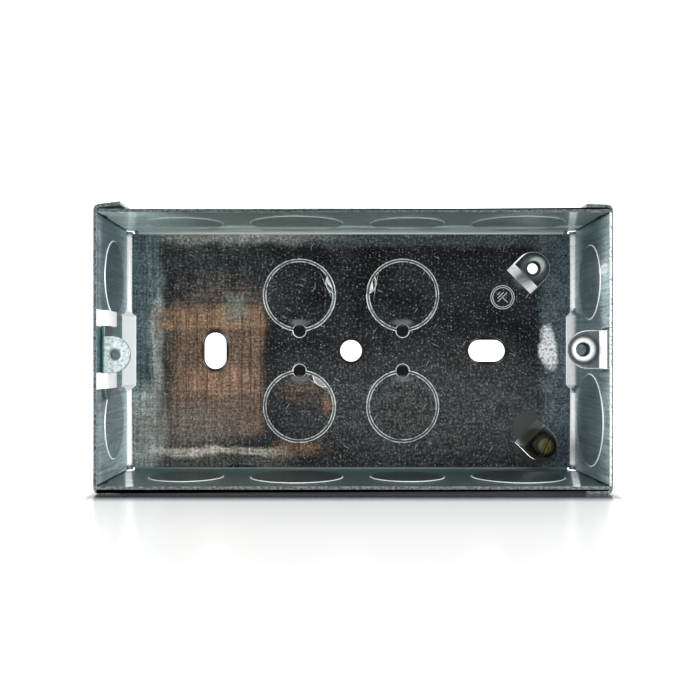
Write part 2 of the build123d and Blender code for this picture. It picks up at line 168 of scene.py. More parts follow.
class Place:
    """Where on the box a finish is being drawn, in millimetres, as sockets of its node tree."""

    def __init__(self, tree: NodeTree) -> None:
        """Add the nodes that give the place.

        Args:
            tree: node tree of the finish.
        """
        self.tree = tree
        coords = add(tree, "TexCoord")
        self.whole = add(tree, "Mapping", {
            "Vector": coords.outputs["Object"],
            "Location": (0.0, HALF_DEPTH, -CENTRE_HEIGHT),
            "Scale": (TO_MM, TO_MM, TO_MM),
        })
        parts = add(tree, "SeparateXYZ", {"Vector": self.whole})
        self.x, self.depth, self.high = (parts.outputs[axis] for axis in "XYZ")
        self.facing = add(tree, "SeparateXYZ", {"Vector": coords.outputs["Normal"]})
        # Patterns are flat ones, which are cheap; leaning them over the depth keeps them on the walls
        flatness = add(tree, "Math", (self.facing.outputs["Z"],), "ABSOLUTE")
        lean = add(tree, "Math", (flatness, LEAN), "MULTIPLY")
        leaning = [
            add(tree, "Math", (self.depth, slope, value), "MULTIPLY_ADD")
            for value, slope in ((self.x, LEAN), (self.high, lean))
        ]
        self.pattern = add(tree, "CombineXYZ", {"X": leaning[0], "Y": leaning[1]})
        self.floor = add(tree, "CombineXYZ", {"X": self.x, "Y": self.high})
        self.walls = {
            "Z": add(tree, "CombineXYZ", {"X": self.x, "Y": self.depth}),
            "X": add(tree, "CombineXYZ", {"X": self.depth, "Y": self.high}),
        }

    @cached_property
    def sizes(self) -> tuple[Node, Node]:
        """Measure how far it is off the box's middle.

        Returns:
            What gives the distance sideways and in height.
        """
        across, up = (add(self.tree, "Math", (v,), "ABSOLUTE") for v in (self.x, self.high))
        return across, up

    @cached_property
    def insets(self) -> tuple[Node, Node]:
        """Measure how far it is in from the end walls and from the long walls.

        Returns:
            What gives the two distances.
        """
        across, up = (
            add(self.tree, "Math", (wall, size), "SUBTRACT")
            for wall, size in zip((INNER_WIDTH, INNER_HEIGHT), self.sizes)
        )
        return across, up

    @cached_property
    def standing_gap(self) -> Node:
        """Measure how far the metal stands in from the nearest wall.

        Returns:
            A node that gives the distance.
        """
        return add(self.tree, "Math", self.insets, "MINIMUM")

    @cached_property
    def outer(self) -> Node:
        """Find the outer faces of the folded sheet.

        Returns:
            A node that gives 1 outside.
        """
        reach: Any = add(self.tree, "Math", (self.depth, DEPTH - SHEET / 2), "SUBTRACT")
        for size, wall in zip(self.sizes, (HALF_WIDTH, HALF_HEIGHT)):
            past = add(self.tree, "Math", (size, wall - SHEET / 2), "SUBTRACT")
            reach = add(self.tree, "Math", (reach, past), "MAXIMUM")
        return add(self.tree, "Math", (reach, 0.0), "GREATER_THAN")

    @cached_property
    def worked(self) -> Node:
        """Find bent and sheared surface: it is square to none of the sheet's three directions.

        Returns:
            A node that gives 1 on worked metal and 0 on flat sheet.
        """
        most: Any = 0.0
        for axis in "XYZ":
            size = add(self.tree, "Math", (self.facing.outputs[axis],), "ABSOLUTE")
            most = add(self.tree, "Math", (most, size), "MAXIMUM")
        return add(self.tree, "MapRange", {
            "Value": most, "From Min": 0.995, "From Max": 0.97,
        }, interpolation_type="SMOOTHSTEP")


@dataclass(frozen=True)
class ColourPatch:
    """An oval or a square where the sheet's colour differs, in its wall's own two directions: real
    discolouring and painted light and shade alike.
    """

    name: str
    colour: str
    middle: tuple[float, float]
    half: tuple[float, float]
    strength: float
    soft: float = 0.4            # share of the half size over which the edge fades, each way
    square: bool = False
    patchy: float = 0.0          # how far it is frayed away in spots


@dataclass(frozen=True)
class Zone:
    """A block in the box (x, depth, height) in which the metal has a colour of its own."""

    name: str
    colour: str
    middle: tuple[float, float, float]
    half: tuple[float, float, float]
    strength: float


@dataclass(frozen=True)
class Wall:
    """One inner wall: how its colour, largely painted light and reflection, runs from the rim to the fold,
    and where it differs.
    """

    name: str
    axis: str                    # direction that the wall is square to
    lift: float                  # how much brighter it is laid on, as it lies in the box's shade
    shades: tuple[tuple[float, str], ...]    # depth from the rim and colour
    disc_shade: float            # what its knockouts' colour is multiplied by
    patches: tuple[ColourPatch, ...] = ()


def lifted(colour: str, lift: float) -> tuple[float, float, float, float]:
    """Brighten a colour.

    Args:
        colour: hex colour.
        lift: how many times brighter.

    Returns:
        The colour in linear light, no part of it over 1.
    """
    red, green, blue, _ = linear(colour)
    return (min(red * lift, 1.0), min(green * lift, 1.0), min(blue * lift, 1.0), 1.0)


def depth_shades(tree: NodeTree, depth: NodeSocket,
                 shades: tuple[tuple[float, str], ...], lift: float) -> Node:
    """Run a colour through the given shades from the rim of the box to its floor.

    Args:
        tree: node tree of the finish.
        depth: distance back from the rim in millimetres.
        shades: depths and colours.
        lift: how much brighter than given they are laid on.

    Returns:
        A node that gives the colour.
    """
    share = add(tree, "MapRange", {"Value": depth, "From Min": 0.0, "From Max": DEPTH})
    ramp = add(tree, "ValToRGB", {"Fac": share})
    stops = ramp.color_ramp.elements
    stops.remove(stops[-1])
    for place, (at, colour) in enumerate(shades):
        stop = stops[0] if place == 0 else stops.new(at / DEPTH)
        stop.position = at / DEPTH
        stop.color = lifted(colour, lift)
    return ramp


def reach_from(tree: NodeTree, spot: NodeSocket | Node, middle: tuple[float, ...], half: tuple[float, ...],
               square: bool) -> NodeSocket | Node:
    """Measure how far a spot lies from a middle, where 1 is the edge of the given half sizes.

    Args:
        tree: node tree of the finish.
        spot: the spot, in millimetres.
        middle: the middle, in three directions.
        half: half sizes in them.
        square: whether the edge is a block instead of an oval.

    Returns:
        What gives the measure.
    """
    scaled = add(tree, "Mapping", {
        "Vector": spot,
        "Location": tuple(-m / h for m, h in zip(middle, half)), "Scale": tuple(1 / h for h in half),
    })
    if not square:
        return add(tree, "VectorMath", (scaled,), "LENGTH").outputs["Value"]
    sides = add(tree, "SeparateXYZ", {"Vector": add(tree, "VectorMath", (scaled,), "ABSOLUTE")})
    reach = add(tree, "Math", (sides.outputs["X"], sides.outputs["Y"]), "MAXIMUM")
    return add(tree, "Math", (reach, sides.outputs["Z"]), "MAXIMUM")


def lay_patches(tree: NodeTree, spot: NodeSocket | Node,
               patches: tuple[ColourPatch, ...], mottle: Node, colour: Any,
               lift: float = 1.0, where: Any = 1.0) -> Any:
    """Lay patches of real discolouring and of painted light and shade one after another over a colour.

    Args:
        tree: node tree of the finish.
        spot: place in the wall's own two directions, in millimetres.
        patches: the stains, lowest first.
        mottle: noise that frays the patchy ones.
        colour: colour below them.
        lift: how much brighter than given they are laid on.
        where: 1 where they may lie.

    Returns:
        A node that gives the colour.
    """
    for patch in patches:
        amount = add(tree, "MapRange", {
            "Value": reach_from(tree, spot, (*patch.middle, 0.0), (*patch.half, 1.0), patch.square),
            "From Min": 1 + patch.soft, "From Max": 1 - patch.soft, "To Max": patch.strength,
        }, interpolation_type="SMOOTHSTEP", label=patch.name)
        if patch.patchy:
            frayed = add(tree, "MapRange", {
                "Value": mottle, "From Min": 0.4, "From Max": 0.6, "To Min": 1 - patch.patchy, "To Max": 1.0,
            })
            amount = add(tree, "Math", (amount, frayed), "MULTIPLY")
        if where != 1.0:
            amount = add(tree, "Math", (amount, where), "MULTIPLY")
        colour = add(tree, "Mix", {"Factor": amount, "A": colour, "B": lifted(patch.colour, lift)})
    return colour


def lay_zones(place: Place, zones: tuple[Zone, ...], colour: Any) -> Any:
    """Give whole regions of the metal a colour of their own.

    Args:
        place: the finish's place.
        zones: the regions, each a block in the box.
        colour: colour of everything else.

    Returns:
        A node that gives the colour.
    """
    for zone in zones:
        inside = add(place.tree, "MapRange", {
            "Value": reach_from(place.tree, place.whole, zone.middle, zone.half, square=True),
            "From Min": 1.02, "From Max": 0.98, "To Max": zone.strength,
        }, label=zone.name)
        colour = add(place.tree, "Mix", {"Factor": inside, "A": colour, "B": linear(zone.colour)})
    return colour


@dataclass(frozen=True)
class GalvanisedSheet:
    """Hot-dip galvanised steel sheet, pierced and folded on a press, then stored and handled.

    The floor is dark, partly dulled zinc and partly a painted dark reflection; the walls keep a
    blue-green grey, with painted light and reflections that differ from wall to wall; and wherever a
    tool has bent or sheared it, it is painted nearly white, partly burnish and partly a painted highlight.
    """

    name: str = "galvanised_sheet_folded"
    # Floor colour: partly dulled zinc, partly a painted dark reflection
    floor: str = "#16191C"
    outside: str = "#7E898A"
    # Worked metal: partly burnish, partly a painted highlight; the next two fold colours are dimmer painted
    # highlights
    burnish_and_highlight: str = "#FDFFFE"
    top_fold_highlight: str = "#BCC7C7"
    base_fold_highlight: str = "#566664"
    base_knockout_highlight: str = "#DCE6E3"    # edges of the knockouts in the base, a painted highlight
    fold_shade: str = "#6D8287"      # back of the right fold, where it turns away
    rim_left: str = "#525A60"
    rim_right_highlight: str = "#E4ECEC"
    rim_right_outer: str = "#4C5054"
    rim_top: str = "#4E5857"
    rim_base: str = "#74797A"
    speck: str = "#A3ABAE"
    metallic: float = 0.5
    metallic_worked: float = 0.05
    roughness: float = 0.36
    grain_mm: float = 0.75       # crystals of the zinc skin, drawn as coarse as they show
    mottle_mm: float = 3.0       # drifts of dulled zinc
    cloud_mm: float = 12.0
    speck_mm: float = 0.95       # spacing of bright pits
    scratch_mm: float = 2.6      # spacing of handling scratches
    # Painted shade along the open seams in the corners
    seam_shade: str = "#1D2527"
    seam_reach: tuple[float, float] = (0.22, 0.42)       # off the corner: full painted shade, and none
    seam_depth: float = 0.3      # painted shade lies behind this depth
    rim_depth: float = 0.25      # and the rim's colour before this one
    lug_depth: float = 8.0       # the fixed lug stands before this depth
    folded_from: float = 31.5    # the floor's folds start at this depth and are burnished all over
    sheared_before: float = 31.0             # worked metal by the base before this depth is sheared
    long_fold: tuple[float, float] = (33.0, 33.5)        # height off the middle: start, and full
    turned_from: tuple[float, float] = (63.9, 64.4)      # x where the right fold turns away
    turned_depth: float = 25.0
    wide_fold: float = 12.3      # half the length of a short wall's wide fold
    # Line on a long wall that mirrors a short wall's fold: wall, colour, distance off the middle at the rim
    mirrored: tuple[tuple[str, str, float], ...] = (("top", "#B9CCCC", 55.9), ("base", "#E4EEEC", 56.8))
    mirrored_slope: float = 0.24
    mirrored_lift: float = 1.8
    knockout_centre: tuple[float, float] = (15.05, 16.2)
    knockout_depth: float = 1.9  # floor knockouts are raised less than this
    # Floor knockouts: radius, half width, colour, strength, and whether it is unbroken
    rings: tuple[tuple[float, float, str, float, bool], ...] = (
        (10.2, 0.42, "#4E5657", 1.0, True),
        (10.5, 0.14, "#F4FAF8", 1.0, False),
        (9.75, 0.13, "#D9E1DF", 0.95, False),
    )
    # Each wall's tone and the bands along its depth are painted light and reflection on one sheet; lift makes
    # up for the box's shade
    walls: tuple[Wall, ...] = (
        Wall("top", "Z", 2.0, (
            (0.0, "#5A6664"), (10.0, "#667572"), (21.5, "#6A7A74"), (24.2, "#A5B1AE"), (26.4, "#A5B1AE"),
            (28.6, "#667775"), (33.0, "#849592"),
        ), 0.85, (
            ColourPatch("paler_left_end", "#A3B6B3", (-62.0, 14.0), (16.0, 26.0), 0.6, soft=0.5),
            # painted reflections where the sheet swells by the knockouts
            ColourPatch("swelling_reflection_left", "#93A29D", (-31.5, 30.5), (6.0, 4.2), 0.85, soft=0.25, patchy=0.3),
            ColourPatch("swelling_reflection_right", "#93A29D", (33.5, 30.5), (6.5, 3.6), 0.85, soft=0.25, patchy=0.3),
        )),
        Wall("base", "Z", 1.15, (
            (0.0, "#4C5654"), (17.0, "#475B5D"), (30.0, "#4C6368"), (33.0, "#66807E"),
        ), 0.45),
        Wall("left", "X", 1.15, (
            (0.0, "#73848A"), (3.0, "#8A9A9F"), (6.5, "#5A6E77"), (20.0, "#62767E"), (33.0, "#8EA0A4"),
        ), 0.7, (
            # lighter towards the bottom
            ColourPatch("lighter_lower_part", "#A5B6BA", (18.0, -24.0), (18.0, 14.0), 0.65, soft=0.6, patchy=0.3),
            ColourPatch("shade_by_lug", "#587A79", (3.0, 0.0), (4.6, 6.3), 1.0, soft=0.12, square=True),
        )),
        Wall("right", "X", 1.45, (
            (0.0, "#93A3A4"), (5.0, "#7C8D90"), (12.0, "#5E7074"), (24.0, "#5A6C70"), (33.0, "#84979A"),
        ), 0.8, (
            # a painted highlight of a lamp
            ColourPatch("highlight_spot", "#FFFFFF", (4.7, 20.8), (3.6, 1.4), 1.0, soft=0.3),
            ColourPatch("light_by_rim", "#B4C6C8", (4.0, 14.0), (3.4, 12.0), 0.6, soft=0.6, patchy=0.4),
            ColourPatch("shade_upper", "#34474D", (17.0, 25.0), (9.0, 9.0), 0.5, soft=0.6, patchy=0.4),
            ColourPatch("shade_lower", "#2C3B3F", (24.0, -25.0), (7.0, 6.0), 0.6, soft=0.6, patchy=0.4),
        )),
    )
    floor_patches: tuple[ColourPatch, ...] = (
        ColourPatch("grey_below", "#414444", (28.0, -19.0), (46.0, 17.0), 0.9, soft=0.7, patchy=0.5),
        ColourPatch("grey_upper_left", "#343A3B", (-44.0, 20.0), (22.0, 15.0), 0.8, soft=0.5, patchy=0.6),
        ColourPatch("under_top", "#3B4548", (10.0, 33.0), (60.0, 2.6), 0.9, soft=0.5, square=True),
        ColourPatch("under_top_fold", "#8F8E84", (-34.0, 33.5), (26.0, 2.2), 0.85, soft=0.5, patchy=0.4),
        ColourPatch("left_strip", "#526264", (-60.5, 0.0), (5.3, 36.0), 0.9, soft=0.15, square=True),
        ColourPatch("left_strip_low", "#A0A7A2", (-60.0, -23.0), (5.6, 12.0), 0.8, soft=0.35),
        ColourPatch("left_strip_inner", "#C8D0CA", (-56.2, 1.0), (1.6, 13.0), 1.0, soft=0.5, patchy=0.3),
        ColourPatch("left_strip_line", "#8A9698", (-58.5, 4.0), (0.5, 32.0), 0.35, soft=0.8, square=True),
        ColourPatch("brown_haze", "#5A4D41", (-38.0, 15.5), (12.0, 6.0), 0.6, soft=0.6, patchy=0.6),
        ColourPatch("brown_edge", "#4C4740", (-53.0, -4.0), (4.5, 16.0), 0.8, soft=0.3, square=True, patchy=0.4),
        ColourPatch("brown_patch", "#665242", (-38.8, -5.2), (13.0, 19.0),
              0.95, soft=0.08, square=True, patchy=0.2),
        ColourPatch("brown_top_band", "#886A50", (-41.5, 9.4), (14.0, 3.0),
              0.85, soft=0.35, square=True, patchy=0.3),
        ColourPatch("brown_low_band", "#8E6F58", (-38.0, -8.8), (10.5, 3.4),
              0.75, soft=0.35, square=True, patchy=0.4),
        ColourPatch("grey_green_blotch", "#5C645B", (-34.0, 12.5), (2.8, 4.0),
              0.85, soft=0.3, square=True, patchy=0.3),
        ColourPatch("patch_fading_low", "#665F56", (-46.0, -22.0), (16.0, 6.5), 0.85, soft=0.5, patchy=0.3),
        ColourPatch("small_brown", "#775A42", (-16.0, -28.6), (7.0, 2.2), 0.8, soft=0.5, patchy=0.5),
        ColourPatch("brown_in_knockout", "#63503F", (-15.0, -11.5), (6.0, 3.4), 0.6, soft=0.6, patchy=0.6),
        ColourPatch("small_brown_upper", "#7A5A45", (-7.4, -15.6), (1.5, 2.8), 0.75, soft=0.5),
        ColourPatch("dust_band", "#B3AD9F", (-39.0, -29.5), (17.0, 1.3), 1.0, soft=0.4, square=True, patchy=0.4),
        ColourPatch("olive_band", "#484B44", (-38.0, -32.2), (20.0, 1.9), 0.9, soft=0.25, square=True),
        ColourPatch("right_edge", "#627278", (60.0, 0.0), (4.5, 36.0), 0.75, soft=0.5, square=True, patchy=0.4),
        # a painted reflection on the floor by the right lug
        ColourPatch("reflection_by_right_lug", "#FFFFFF", (57.4, 0.6), (2.6, 6.4), 1.0, soft=0.3, patchy=0.25),
    )
    drift: float = 4.0           # how far clouds push the floor's stains about
    fray: float = 1.6            # and drifts
    run_lines: tuple[float, ...] = (-50.8, -48.1, -44.9, -42.0, -31.8, -29.3, -26.4)
    run_colour: str = "#33251C"
    run_middle: float = -3.0     # height of their middle
    run_half: tuple[float, float] = (13.0, 16.0)         # they fade from one to the other
    late_patches: tuple[ColourPatch, ...] = (
        # painted shade over the lower earth tab's ramp and round its screw
        ColourPatch("shaded_lower_ramp", "#424644", (51.6, -22.4), (4.7, 4.6), 0.95, soft=0.2),
        ColourPatch("shaded_lower_side", "#424644", (50.4, -26.8), (3.3, 3.3), 0.9, soft=0.4, patchy=0.3),
        ColourPatch("shaded_lower_tab", "#393A36", (54.2, -27.9), (5.4, 5.4), 0.95, soft=0.12, patchy=0.15),
        ColourPatch("shade_by_screw", "#25231A", (54.6, -26.9), (4.5, 4.3), 0.9, soft=0.5, patchy=0.2),
        # the upper tab's ramp is drawn darker
        ColourPatch("darker_upper_ramp", "#5F6867", (50.1, 21.1), (2.5, 2.5), 0.85, soft=0.5, patchy=0.4),
        ColourPatch("upper_collar", "#4A5254", (52.8, 23.9), (3.7, 3.7), 0.9, soft=0.15),
        ColourPatch("upper_collar_glint", "#C9D3D1", (53.7, 24.7), (2.3, 2.3), 0.85, soft=0.25),
        ColourPatch("upper_hole_edge", "#17191B", (52.8, 23.9), (2.2, 2.2), 1.0, soft=0.1),
        ColourPatch("dark_round_left_slot", "#2B2620", (-39.6, 0.0), (4.1, 6.3), 1.0, soft=0.08),
        ColourPatch("dark_round_right_slot", "#1B1D20", (39.6, 0.0), (6.3, 4.1), 1.0, soft=0.08),
        ColourPatch("dark_round_centre_hole", "#1B1D20", (0.0, 0.0), (3.95, 3.95), 1.0, soft=0.05),
    )
    knockout_patches: tuple[ColourPatch, ...] = (
        ColourPatch("notch", "#101315", (0.0, -10.1), (1.8, 1.65), 1.0, soft=0.08),
        ColourPatch("pried_crescent", "#6E7679", (0.0, -8.0), (2.6, 0.9), 0.85, soft=0.5, patchy=0.4),
        ColourPatch("corner_fleck", "#5E6C6E", (48.9, 18.4), (2.0, 0.8), 0.9, soft=0.15, square=True),
    )
    lug_patches: tuple[ColourPatch, ...] = (
        ColourPatch("shade_round_collar", "#33393D", (59.3, 0.0), (4.2, 4.2), 0.95, soft=0.12),
        ColourPatch("collar", "#E2EAE8", (59.3, 0.0), (2.85, 2.85), 1.0, soft=0.2, patchy=0.15),
        ColourPatch("collar_mouth", "#343C3C", (59.3, 0.0), (1.85, 1.85), 1.0, soft=0.12),
    )
    zones: tuple[Zone, ...] = (
        Zone("fixed_lug_plate", "#4E565A", (58.0, 3.4, 0.0), (7.9, 2.9, 5.6), 0.9),
        Zone("upper_earth_plate", "#2A2F31", (52.8, 31.8, 23.9), (5.6, 1.4, 5.6), 0.75),
    )
    # Painted highlights: the two loops and the left wide fold
    bright_zones: tuple[Zone, ...] = (
        Zone("upper_loop", "#FFFFFF", (-64.6, 7.0, 8.1), (1.75, 7.4, 2.2), 1.0),
        Zone("lower_loop", "#FFFFFF", (-64.6, 7.0, -8.1), (1.75, 7.4, 2.2), 1.0),
        Zone("left_wide_fold", "#F1F8F7", (-64.3, 30.8, 0.0), (1.6, 4.6, 10.3), 0.95),
    )

    def build(self) -> Material:
        """Build the finish.

        Returns:
            The material.
        """
        material, tree = new_material(self.name)
        place = Place(tree)
        grain = add(tree, "TexNoise", {
            "Vector": place.pattern, "Scale": 1 / self.grain_mm, "Detail": 3.0, "Roughness": 0.8,
        })
        mottle = add(tree, "TexNoise", {
            "Vector": place.pattern, "Scale": 1 / self.mottle_mm, "Detail": 3.0, "Roughness": 0.7,
        })
        rolled = add(tree, "TexNoise", {
            "Vector": add(tree, "Mapping", {"Vector": place.pattern, "Scale": (0.07, 1.3, 1.0)}),
            "Scale": 1.0, "Detail": 3.0, "Roughness": 0.7,
        })
        front = add(tree, "MapRange", {
            "Value": place.facing.outputs["Y"], "From Min": -0.75, "From Max": -0.97,
        }, interpolation_type="SMOOTHSTEP")
        walls = self.wall_colour(place, mottle)
        floor = self.floor_colour(place, mottle)
        colour = add(tree, "Mix", {"Factor": front, "A": walls, "B": floor})
        colour = self.textured(tree, colour, grain, rolled, front)
        colour = self.marked(place, colour, mottle)
        colour = lay_zones(place, self.zones, colour)
        patchy = add(tree, "MapRange", {
            "Value": grain, "From Min": 0.25, "From Max": 0.45, "To Min": 0.6, "To Max": 1.0,
        })
        low = add(tree, "MapRange", {"Value": place.standing_gap, "From Min": 0.14, "From Max": 0.2})
        deep = add(tree, "Math", (place.depth, self.folded_from), "GREATER_THAN")
        thin = add(tree, "Math", (low, deep), "MAXIMUM")
        inner = add(tree, "MapRange", {
            "Value": place.facing.outputs["Y"], "From Min": 0.15, "From Max": 0.0, "To Min": 0.35,
        })
        # Painted highlight, partly burnish, on bent and sheared metal
        shine: Any = place.worked
        for share in (patchy, thin, inner):
            shine = add(tree, "Math", (shine, share), "MULTIPLY")
        colour = add(tree, "Mix", {"Factor": shine, "A": colour, "B": self.fold_highlight_colour(place)})
        # painted highlights of the loops and the wide fold
        bright = lay_zones(place, self.bright_zones, colour)
        colour = add(tree, "Mix", {"Factor": inner, "A": colour, "B": bright})
        colour = self.ringed(place, colour, grain, mottle)
        colour = lay_patches(tree, place.floor, self.late_patches, mottle, colour)
        forward = add(tree, "Math", (place.depth, self.lug_depth), "LESS_THAN")
        colour = lay_patches(tree, place.floor, self.lug_patches, mottle, colour, where=forward)
        colour = self.shade_seams(place, colour)
        colour = self.rim_colour(place, colour, grain)
        rough = add(tree, "MapRange", {
            "Value": grain, "From Min": 0.3, "From Max": 0.7,
            "To Min": self.roughness - 0.08, "To Max": self.roughness + 0.1,
        })
        brightness = add(tree, "RGBToBW", {"Color": colour})
        metal = add(tree, "MapRange", {
            "Value": brightness, "From Min": 0.3, "From Max": 0.7,
            "To Min": self.metallic, "To Max": self.metallic_worked,
        })
        bump = add(tree, "Bump", {"Height": grain, "Strength": 0.12, "Distance": 0.00004})
        gloss = add(tree, "MapRange", {
            "Value": brightness, "From Min": 0.01, "From Max": 0.1, "To Min": 0.15, "To Max": 0.5,
        })
        shader = add(tree, "BsdfPrincipled", {
            "Base Color": colour, "Metallic": metal, "Roughness": rough, "Normal": bump,
            "Specular IOR Level": gloss,
        })
        add(tree, "OutputMaterial", {"Surface": shader})
        return material

    def fold_highlight_colour(self, place: Place) -> Any:
        """Colour of worked metal, partly burnish and partly a painted highlight: duller along the long walls'
        folds and on the right fold's back.

        Args:
            place: the finish's place.

        Returns:
            A node that gives the colour.
        """
        tree = place.tree
        colour: Any = linear(self.burnish_and_highlight)
        start, full = self.long_fold
        for side, shade in ((1, self.top_fold_highlight), (-1, self.base_fold_highlight)):
            near = add(tree, "MapRange", {
                "Value": place.high, "From Min": side * start, "From Max": side * full,
            })
            colour = add(tree, "Mix", {"Factor": near, "A": colour, "B": linear(shade)})
        sheared = add(tree, "Math", (
            add(tree, "Math", (place.high, -full), "LESS_THAN"),
            add(tree, "Math", (place.depth, self.sheared_before), "LESS_THAN"),
        ), "MULTIPLY")
        colour = add(tree, "Mix", {"Factor": sheared, "A": colour, "B": linear(self.base_knockout_highlight)})
        start, full = self.turned_from
        turned: Any = add(tree, "MapRange", {"Value": place.x, "From Min": start, "From Max": full})
        deep = add(tree, "Math", (place.depth, self.turned_depth), "GREATER_THAN")
        wide = add(tree, "Math", (place.high, 0.0, self.wide_fold), "COMPARE")
        for share in (deep, wide):
            turned = add(tree, "Math", (turned, share), "MULTIPLY")
        return add(tree, "Mix", {"Factor": turned, "A": colour, "B": linear(self.fold_shade)})

    def wall_colour(self, place: Place, mottle: Node) -> Any:
        """Colour of the four walls: it runs with depth, and the raised knockouts are darker.

        Args:
            place: the finish's place.
            mottle: noise of the drifts.

        Returns:
            A node that gives the colour.
        """
        tree = place.tree
        standing = add(tree, "MapRange", {"Value": place.standing_gap, "From Min": 0.25, "From Max": 0.33})
        colours = {}
        for wall in self.walls:
            colour = depth_shades(tree, place.depth, wall.shades, wall.lift)
            colour = lay_patches(tree, place.walls[wall.axis], wall.patches, mottle, colour, wall.lift)
            darker = add(tree, "MapRange", {"Value": standing, "To Min": 1.0, "To Max": wall.disc_shade})
            colours[wall.name] = add(tree, "Mix", {
                "Factor": 1.0, "A": colour, "B": darker,
            }, blend_type="MULTIPLY")
        for name, tone, start in self.mirrored:
            away = add(tree, "Math", (place.depth, self.mirrored_slope, start), "MULTIPLY_ADD")
            off = add(tree, "Math", (add(tree, "Math", (place.sizes[0], away), "SUBTRACT"),), "ABSOLUTE")
            near = add(tree, "MapRange", {
                "Value": off, "From Min": 1.3, "From Max": 0.6, "To Max": 0.8,
            }, interpolation_type="SMOOTHSTEP")
            colours[name] = add(tree, "Mix", {
                "Factor": near, "A": colours[name], "B": lifted(tone, self.mirrored_lift),
            })
        pairs = []
        for axis, low, high in (("Z", "top", "base"), ("X", "right", "left")):
            side = add(tree, "MapRange", {
                "Value": place.facing.outputs[axis], "From Min": -0.2, "From Max": 0.2,
            })
            pairs.append(add(tree, "Mix", {"Factor": side, "A": colours[low], "B": colours[high]}))
        across = add(tree, "MapRange", {
            "Value": add(tree, "Math", (place.facing.outputs["X"],), "ABSOLUTE"),
            "From Min": 0.6, "From Max": 0.8,
        })
        colour = add(tree, "Mix", {"Factor": across, "A": pairs[0], "B": pairs[1]})
        return add(tree, "Mix", {"Factor": place.outer, "A": colour, "B": linear(self.outside)})

    def floor_colour(self, place: Place, mottle: Node) -> Any:
        """Colour of the floor: dark, partly dulled zinc and partly a painted dark reflection, with its
        patches and dark runs down the brown one.

        Args:
            place: the finish's place.
            mottle: noise of the drifts.

        Returns:
            A node that gives the colour.
        """
        tree = place.tree
        clouds = add(tree, "TexNoise", {
            "Vector": place.floor, "Scale": 1 / self.cloud_mm, "Detail": 3.0, "Roughness": 0.6,
        })
        spot = place.floor
        for noise, reach in ((clouds, self.drift), (mottle, self.fray)):
            push = add(tree, "VectorMath", (noise.outputs["Color"], (0.5, 0.5, 0.5)), "SUBTRACT")
            push = add(tree, "VectorMath", (push, (reach, reach, 0.0)), "MULTIPLY")
            spot = add(tree, "VectorMath", (spot, push), "ADD")
        shade = add(tree, "MapRange", {
            "Value": clouds, "From Min": 0.32, "From Max": 0.68, "To Min": 0.35, "To Max": 1.9,
        })
        colour = add(tree, "Mix", {"Factor": 1.0, "A": linear(self.floor), "B": shade}, blend_type="MULTIPLY")
        colour = lay_patches(tree, spot, self.floor_patches, mottle, colour)
        upright = add(tree, "TexNoise", {
            "Vector": add(tree, "Mapping", {"Vector": place.floor, "Scale": (0.9, 0.06, 1.0)}),
            "Scale": 1.0, "Detail": 2.0, "Roughness": 0.7,
        })
        streaky = add(tree, "MapRange", {
            "Value": upright, "From Min": 0.3, "From Max": 0.7, "To Min": 0.65, "To Max": 1.35,
        })
        over = add(tree, "MapRange", {"Value": place.x, "From Min": -24.0, "From Max": -28.0})
        colour = add(tree, "Mix", {"Factor": over, "A": colour, "B": streaky}, blend_type="MULTIPLY")
        lines: Any = 0.0
        for at in self.run_lines:
            near = add(tree, "Math", (place.x, at, 0.2), "COMPARE")
            lines = add(tree, "Math", (lines, near), "MAXIMUM")
        tall = add(tree, "MapRange", {
            "Value": add(tree, "Math", (
                add(tree, "Math", (place.high, self.run_middle), "SUBTRACT"),
            ), "ABSOLUTE"),
            "From Min": self.run_half[1], "From Max": self.run_half[0], "To Max": 0.8,
        })
        broken = add(tree, "MapRange", {"Value": mottle, "From Min": 0.42, "From Max": 0.5})
        runs = add(tree, "Math", (lines, tall), "MULTIPLY")
        runs = add(tree, "Math", (runs, broken), "MULTIPLY")
        return add(tree, "Mix", {"Factor": runs, "A": colour, "B": linear(self.run_colour)})

    def ringed(self, place: Place, colour: Any, grain: Node, mottle: Node) -> Any:
        """Dress the floor knockouts: a dull sheared edge between two thin bright lines, and the notch.

        Args:
            place: the finish's place.
            colour: colour below it.
            grain: noise of the crystals, which breaks the lines.
            mottle: noise of the drifts, where the lines are worn away.

        Returns:
            A node that gives the colour.
        """
        tree = place.tree
        quarter = add(tree, "Mapping", {
            "Vector": add(tree, "VectorMath", (place.floor,), "ABSOLUTE"),
            "Location": (-self.knockout_centre[0], -self.knockout_centre[1], 0.0),
        })
        radius = add(tree, "VectorMath", (quarter,), "LENGTH").outputs["Value"]
        on_floor = add(tree, "Math", (place.depth, FLOOR_DEPTH - self.knockout_depth), "GREATER_THAN")
        worn = add(tree, "MapRange", {
            "Value": add(tree, "Math", (grain, mottle), "ADD"),
            "From Min": 0.82, "From Max": 1.08, "To Min": 0.15, "To Max": 1.0,
        })
        for at, half_width, tone, strength, solid in self.rings:
            off = add(tree, "Math", (add(tree, "Math", (radius, at), "SUBTRACT"),), "ABSOLUTE")
            line = add(tree, "MapRange", {
                "Value": off, "To Max": strength,
                "From Min": half_width + 0.06, "From Max": half_width - 0.06,
            })
            amount = add(tree, "Math", (line, on_floor), "MULTIPLY")
            if not solid:
                amount = add(tree, "Math", (amount, worn), "MULTIPLY")
            colour = add(tree, "Mix", {"Factor": amount, "A": colour, "B": linear(tone)})
        return lay_patches(tree, quarter, self.knockout_patches, mottle, colour, where=on_floor)

